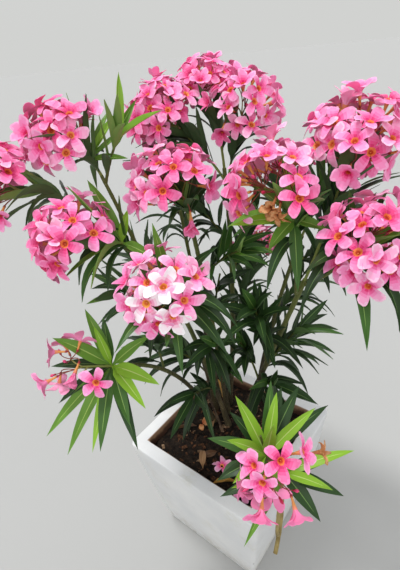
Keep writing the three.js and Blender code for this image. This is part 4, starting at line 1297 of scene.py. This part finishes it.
facing_up = Vector((0.2, 0.1, 1)).normalized()
for x, y, count, tone in FALLEN_FLOWERS:
    rest = on_soil(x, y)
    for petal in range(count):
        turn = x + petal * 2 * math.pi / PETALS
        radial = Vector((math.cos(turn), math.sin(turn), 0.25 * math.sin(3 * turn)))
        add_petal(0, rest, facing_up, radial.normalized(), tone, 0.15, 0.85, chance(x, petal))
dry_leaves = Copies(leaf_template(0.9, 0.25))
for x, y, turn, length, arch, look in FALLEN_LEAVES:
    way_x, way_y = math.cos(turn), math.sin(turn)
    foot, tip = (on_soil(x + way_x * length * half, y + way_y * length * half) for half in (-0.5, 0.5))
    knee = foot.lerp(tip, 0.5) + UP * arch
    flank = Vector((-way_y, way_x, 0))
    dry_leaves.add(Curve(foot, knee, tip), flank, 9, 12, 1.2 * (look - 1), look)
dry_materials = toned(DRY_TONES, dict.fromkeys(("blade", "midrib", "underside"), 0.65))
fallen = add_mesh("fallen_leaves", dry_leaves.mesh("fallen_leaves", 3), dry_materials)

# The petals of all flowers, standing and fallen, and the other parts of the flowers.
petal_materials = toned(PETAL_TONES, dict.fromkeys(PETAL_PARTS, 0.5), 0.3)
for outer, (name, copies) in enumerate(zip(PETAL_PIECES, petals)):
    piece = add_mesh(name, copies.mesh(name, len(PETAL_PARTS)), petal_materials)
    own = [shoot.name for shoot in shoots if shoot.truss and (shoot.seed > INNER_TRUSSES) == outer]
    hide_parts(*own)
tube_materials = toned((("fresh", "eaa055", "f0906a", "f2a42c"), ("dry", "c07a48", "b06a3c", "8f5830")),
                       dict.fromkeys(("tube", "mouth", "throat"), 0.5))
# The white fringe goes with the white petals, as painted sunlight.
fringe_materials = toned((
    ("white", "f8b868", "e88a4a"), ("pale", "f8a95c", "e0703c"), ("pink", "f59a50", "d85c38"),
    ("rose", "f08a48", "c84a34"), ("withered", "a8623a", "7a4428")), {"fringe": 0.5, "throat": 0.5})
for name, copies, zones, materials in (
    ("flower_tubes", tubes, 3, tube_materials), ("throat_fringes", fringes, 2, fringe_materials),
    ("flower_buds", buds, 1, [plain("red_bud", "c8214f", 0.45), plain("pink_bud", "e8477f", 0.45)]),
    ("calyxes", calyxes, 2, [plain("calyx_red", "a3243a")] * 2),
    ("flower_stalks", stalks, 1, [plain("stalk_red", "8f4a3a", 0.55)]),
    ("truss_arms", arm_rods, 1, [plain("arm_green", "8f8c45")]),
):
    piece = add_mesh(name, copies.mesh(name, zones), materials)

# Floor and light: a plain pale floor that runs to the horizon, where it meets a wall of a
# lighter shade. A soft sun-like light stands almost overhead, a little to the camera's left,
# and two weak ones come from the camera's side and from behind the plant.
FLOOR_REACH = 60
WALL_SHADE = "d1d2d0"
ROOM_SHADE = "dcdee0"
floor_shape = bmesh.new()
bmesh.ops.create_circle(floor_shape, cap_ends=True, segments=96, radius=FLOOR_REACH)
floor = add_object("floor", mesh_of("floor", floor_shape))
floor.data.materials.append(plain("floor", "b1b1af", 0.9))


def add_light(name, place, strength, softness):
    data = bpy.data.lights.new(name, "SUN")
    data.energy, data.angle = strength, math.radians(softness)
    add_object(name, data).rotation_euler = Vector(place).to_track_quat("Z", "Y").to_euler()


add_light("key", (-0.3, -0.14, 1.2), 1.7, 12)
add_light("fill", (0.6, -0.7, 0.55), 0.7, 50)
add_light("back", (0.2, 1.6, 1.1), 0.3, 40)
world = bpy.data.worlds.new("studio")
room = Paint(world, "Background")
way_out = room.node("ShaderNodeTexCoord", output="Generated")
height = room.node("ShaderNodeSeparateXYZ", sockets={0: way_out}, output="Z")
room.dress(color=room.blend(room.ramp(height, 0.02, 0.6), colour(WALL_SHADE), colour(ROOM_SHADE)))
bpy.context.scene.world = world
bpy.context.scene.view_settings.view_transform = "Standard"
